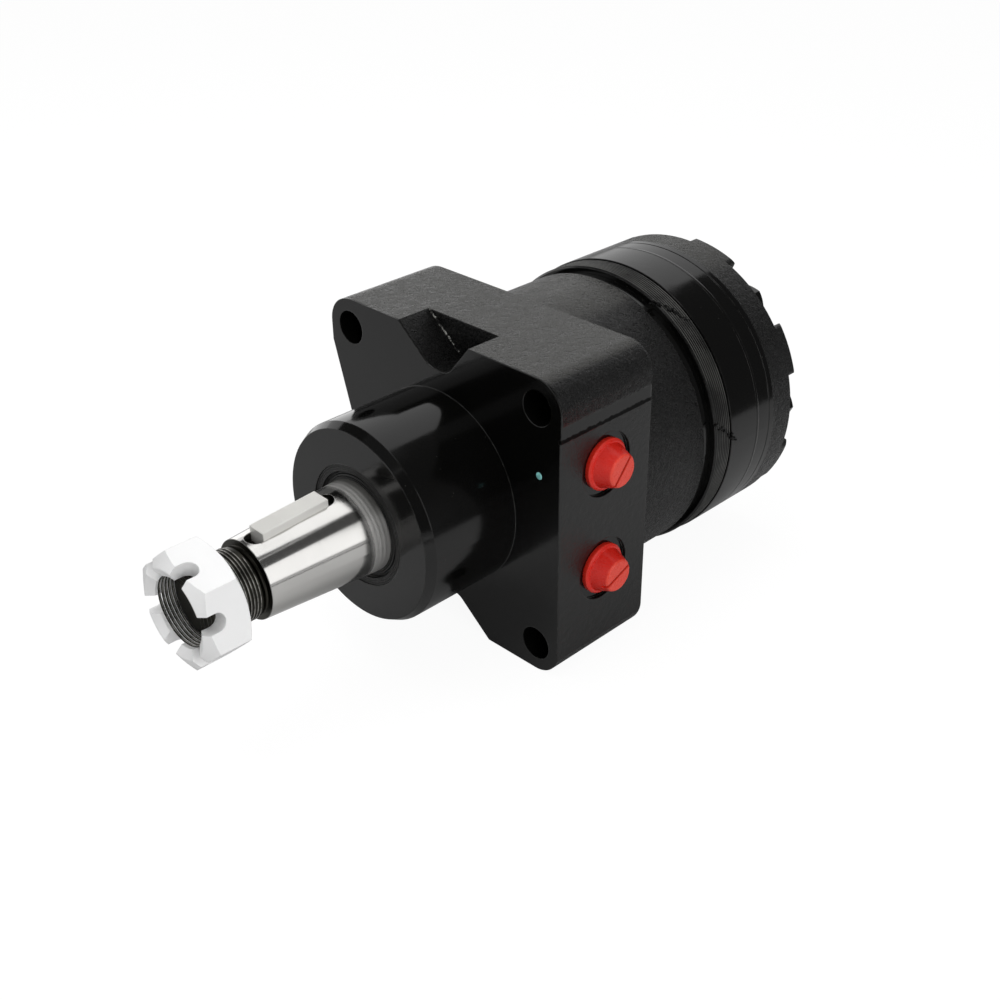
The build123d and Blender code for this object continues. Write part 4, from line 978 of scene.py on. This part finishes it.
class MOTOR_OT_paint_marks(bpy.types.Operator):
    """Add the inspection dot, the paint runs over the rear rings and the bead in the relief"""
    bl_idname = "motor.paint_marks"
    bl_label = "Add paint marks"

    def execute(self, context):
        settings = context.scene.motor_marks
        dot = blob(DOT_CENTRE, Vector((0, -1, 0)), settings.dot_radius, DOT_RISE)
        dull = [c * 0.6 for c in settings.dot_colour]
        dot_paint = dried_paint("dot_paint", settings.dot_colour, dull, 0.35, 0.7, 0.25, 0.00006)
        add_object("paint_dot", tidy_mesh(dot, DROP_ANGLE), dot_paint, "casing")
        tree = drops_tree()
        black = (*context.scene.motor_paint.colour,)
        run_paint = dried_paint("run_paint", black, black, *DRY_PATCHES)
        bead_paint = dried_paint("bead_paint", black, BEAD_HIGHLIGHT, *DRY_PATCHES)
        for name, *points, seed in PAINT_RUNS:
            lay_drops(name, tree, [around(*point) for point in points], RUN_DROPS, settings.run_drop,
                      RUN_SCATTER, seed, run_paint)
        corner = (RELIEF_TOP, (RELIEF_TOP + RELIEF_FOOT) / 2, RELIEF_FOOT)
        lay_drops("relief_bead", tree, corner, BEAD_DROPS, settings.bead_drop, BEAD_SCATTER, BEAD_SEED,
                  bead_paint)
        return {"FINISHED"}


class MOTOR_OT_stage(bpy.types.Operator):
    """Build the floor, the lights and the camera"""
    bl_idname = "motor.stage"
    bl_label = "Build the stage"

    def execute(self, context):
        settings = context.scene.motor_stage
        height = CAD_BOX[0].z
        build_floor(height)
        for card in GLOSS_CARDS:
            build_card(height, *card)
        build_world(settings.world_strength, settings.gloss_sky)
        build_light("overhead_softbox", (-0.25, -0.1, 1.0), 0.9, settings.key_power)
        build_light("side_softbox", (0.9, -0.25, 0.42), 0.7, settings.side_power)
        build_camera(settings.lens)
        context.scene.view_settings.view_transform = "Standard"
        return {"FINISHED"}


# Cards that only reflections see: name, brightness, first and last direction about Z in degrees, distances in
# metres of the rows that lie on the floor, and the reach and the elevations in degrees of the rows above it
GLOSS_CARDS = (
    ("dark_wall", 0.07, 29, 97, (0.46, 1.5), 1.5, (15, 30, 45, 61)),
    ("dark_wing", 0.09, -10, 29, (), 1.5, (41, 51, 61)),
    ("dark_left", 0.07, -75, 2, (), 1.5, (0, 15, 30, 45, 61)),
    ("dark_back", 0.06, 146, 262, (), 1.5, (29, 38, 47, 56, 62)),
    ("back_paper", 1.3, 138, 176, (0.36, 1.5), 1.5, (12,)),
    ("table_edge", 0.05, -70, 29, (0.45, 0.60), 1.5, ()),
    ("side_softbox", 1.25, 3, 26, (), 1.4, (0, 14, 28, 40)),
    ("top_softbox", 1.25, 52, 140, (), 1.45, (61, 68, 75)),
    ("dark_ceiling", 0.12, 0, 360, (), 1.48, (62, 76, 89)),
)
FLOOR_HALF = 3.0
PAPER_GLOW, PAPER_SHARE = 1.16, 0.8  # strength of the paper's own light and its share before the camera
CARD_STEPS = 24  # flat steps along a curved card
CARD_LIFT = 0.5 * MM  # height of a card's lowest rows over the floor


def seen_by_camera(tree):
    """1 on camera and transmission rays."""
    path = node(tree, "ShaderNodeLightPath")
    return maths(tree, "MAXIMUM", path.outputs["Is Camera Ray"], path.outputs["Is Transmission Ray"])


def glow(tree, strength):
    return node(tree, "ShaderNodeEmission", {"Color": (1, 1, 1, 1), "Strength": strength}).outputs[0]


def plain_mesh(name, points, faces, material):
    mesh = bpy.data.meshes.new(name)
    mesh.from_pydata(points, [], faces)
    mesh.materials.append(material)
    return mesh


def build_floor(height):
    """White paper that keeps the motor's shadow and looks almost as bright as the background."""
    corners = [(x * FLOOR_HALF, y * FLOOR_HALF, height) for x, y in ((-1, -1), (1, -1), (1, 1), (-1, 1))]
    material, tree, surface = plain_material("floor_paper")
    paper = node(tree, "ShaderNodeBsdfDiffuse", {"Color": (0.5, 0.5, 0.5, 1)})
    both = node(tree, "ShaderNodeMixShader")
    feed(tree, both.inputs[0], times(tree, seen_by_camera(tree), PAPER_SHARE))
    tree.links.new(paper.outputs[0], both.inputs[1])
    tree.links.new(glow(tree, PAPER_GLOW), both.inputs[2])
    tree.links.new(both.outputs[0], surface)
    linked("floor", plain_mesh("floor", corners, [(0, 1, 2, 3)], material))


def build_card(floor, name, brightness, first, last, on_floor, reach, elevations):
    """Curved card about the motor that only reflections see."""
    rows = [(distance, floor + CARD_LIFT) for distance in on_floor]
    for rise in map(math.radians, elevations):
        rows.append((reach * math.cos(rise), reach * math.sin(rise)))
    points, faces = [], []
    for k in range(CARD_STEPS + 1):
        angle = math.radians(first + (last - first) * k / CARD_STEPS)
        points += [(distance * math.cos(angle), distance * math.sin(angle), z) for distance, z in rows]
    wide = len(rows)
    for k in range(CARD_STEPS):
        for row in range(wide - 1):
            here = k * wide + row
            faces.append((here, here + wide, here + wide + 1, here + 1))
    material, tree, surface = plain_material(name)
    tree.links.new(glow(tree, brightness), surface)
    card = linked(name, plain_mesh(name, points, faces, material))
    for rays in ("camera", "diffuse", "shadow", "transmission"):
        setattr(card, "visible_" + rays, False)


def build_world(strength, gloss):
    """Even light, plain white to the camera and a little darker in reflections."""
    world = bpy.data.worlds.new("studio")
    bpy.context.scene.world = world
    world.use_nodes = True
    tree = world.node_tree
    tree.nodes.clear()
    shiny = node(tree, "ShaderNodeLightPath").outputs["Is Glossy Ray"]
    level = mix_value(tree, seen_by_camera(tree), mix_value(tree, shiny, strength, gloss), 1.0)
    light = node(tree, "ShaderNodeBackground", {"Color": (1, 1, 1, 1), "Strength": level})
    target = node(tree, "ShaderNodeOutputWorld")
    tree.links.new(light.outputs[0], target.inputs["Surface"])


def build_light(name, place, size, power):
    """Square softbox aimed at the motor; gloss mirrors the cards in its stead."""
    data = bpy.data.lights.new(name, "AREA")
    data.shape = "SQUARE"
    data.size = size
    data.energy = power
    lamp = linked(name, data)
    lamp.location = place
    lamp.rotation_euler = (-Vector(place)).to_track_quat("-Z", "Y").to_euler()
    lamp.visible_glossy = False


def build_camera(lens):
    """Camera at its fitted place, by the directions of its right, down and forward axes."""
    data = bpy.data.cameras.new("camera")
    data.lens = lens
    data.sensor_width = 36.0
    data.clip_start = 0.01
    right = Vector((0.70679, 0.70738, -0.00812))
    down = Vector((0.35594, -0.36552, -0.86006))
    forward = Vector((-0.61136, 0.60499, -0.51013))
    place = Vector((0.36084, -0.32460, 0.27961))
    camera = linked("camera", data)
    turn = Matrix((right, -down, -forward)).transposed().to_4x4()
    camera.matrix_world = Matrix.Translation(place) @ turn
    bpy.context.scene.camera = camera


class MOTOR_PT_finishes(bpy.types.Panel):
    """Sizes, colours and steps of the motor's finishes"""
    bl_idname = "MOTOR_PT_finishes"
    bl_label = "Motor finishes"
    bl_space_type = "VIEW_3D"
    bl_region_type = "UI"
    bl_category = "Motor"

    def draw(self, context):
        for group, settings, operators in PANEL_ROWS:
            values = getattr(context.scene, group)
            column = self.layout.column()
            for name in settings.__annotations__:
                column.prop(values, name)
            for operator in operators:
                column.operator(operator.bl_idname)


PANEL_ROWS = (
    ("motor_paint", MotorPaintSettings, (MOTOR_OT_paint_castings,)),
    ("motor_steel", MotorSteelSettings, (MOTOR_OT_finish_steel,)),
    ("motor_plugs", MotorPlugSettings, (MOTOR_OT_mould_plugs,)),
    ("motor_threads", MotorThreadSettings, (MOTOR_OT_cut_threads,)),
    ("motor_ridges", MotorRidgeSettings, (MOTOR_OT_turn_ridges,)),
    ("motor_marks", MotorMarkSettings, (MOTOR_OT_paint_marks,)),
    ("motor_stage", MotorStageSettings, (MOTOR_OT_stage,)),
)


def register():
    for group, settings, operators in PANEL_ROWS:
        bpy.utils.register_class(settings)
        setattr(bpy.types.Scene, group, PointerProperty(type=settings))
        for operator in operators:
            bpy.utils.register_class(operator)
    bpy.utils.register_class(MOTOR_PT_finishes)


def unregister():
    bpy.utils.unregister_class(MOTOR_PT_finishes)
    for group, settings, operators in reversed(PANEL_ROWS):
        for operator in operators:
            bpy.utils.unregister_class(operator)
        delattr(bpy.types.Scene, group)
        bpy.utils.unregister_class(settings)


def main():
    register()
    build_groups()
    bpy.ops.motor.stage()
    bpy.ops.motor.paint_castings()
    bpy.ops.motor.finish_steel()
    bpy.ops.motor.mould_plugs()
    bpy.ops.motor.cut_threads()
    bpy.ops.motor.turn_ridges()
    bpy.ops.motor.paint_marks()


if __name__ == "__main__":
    main()
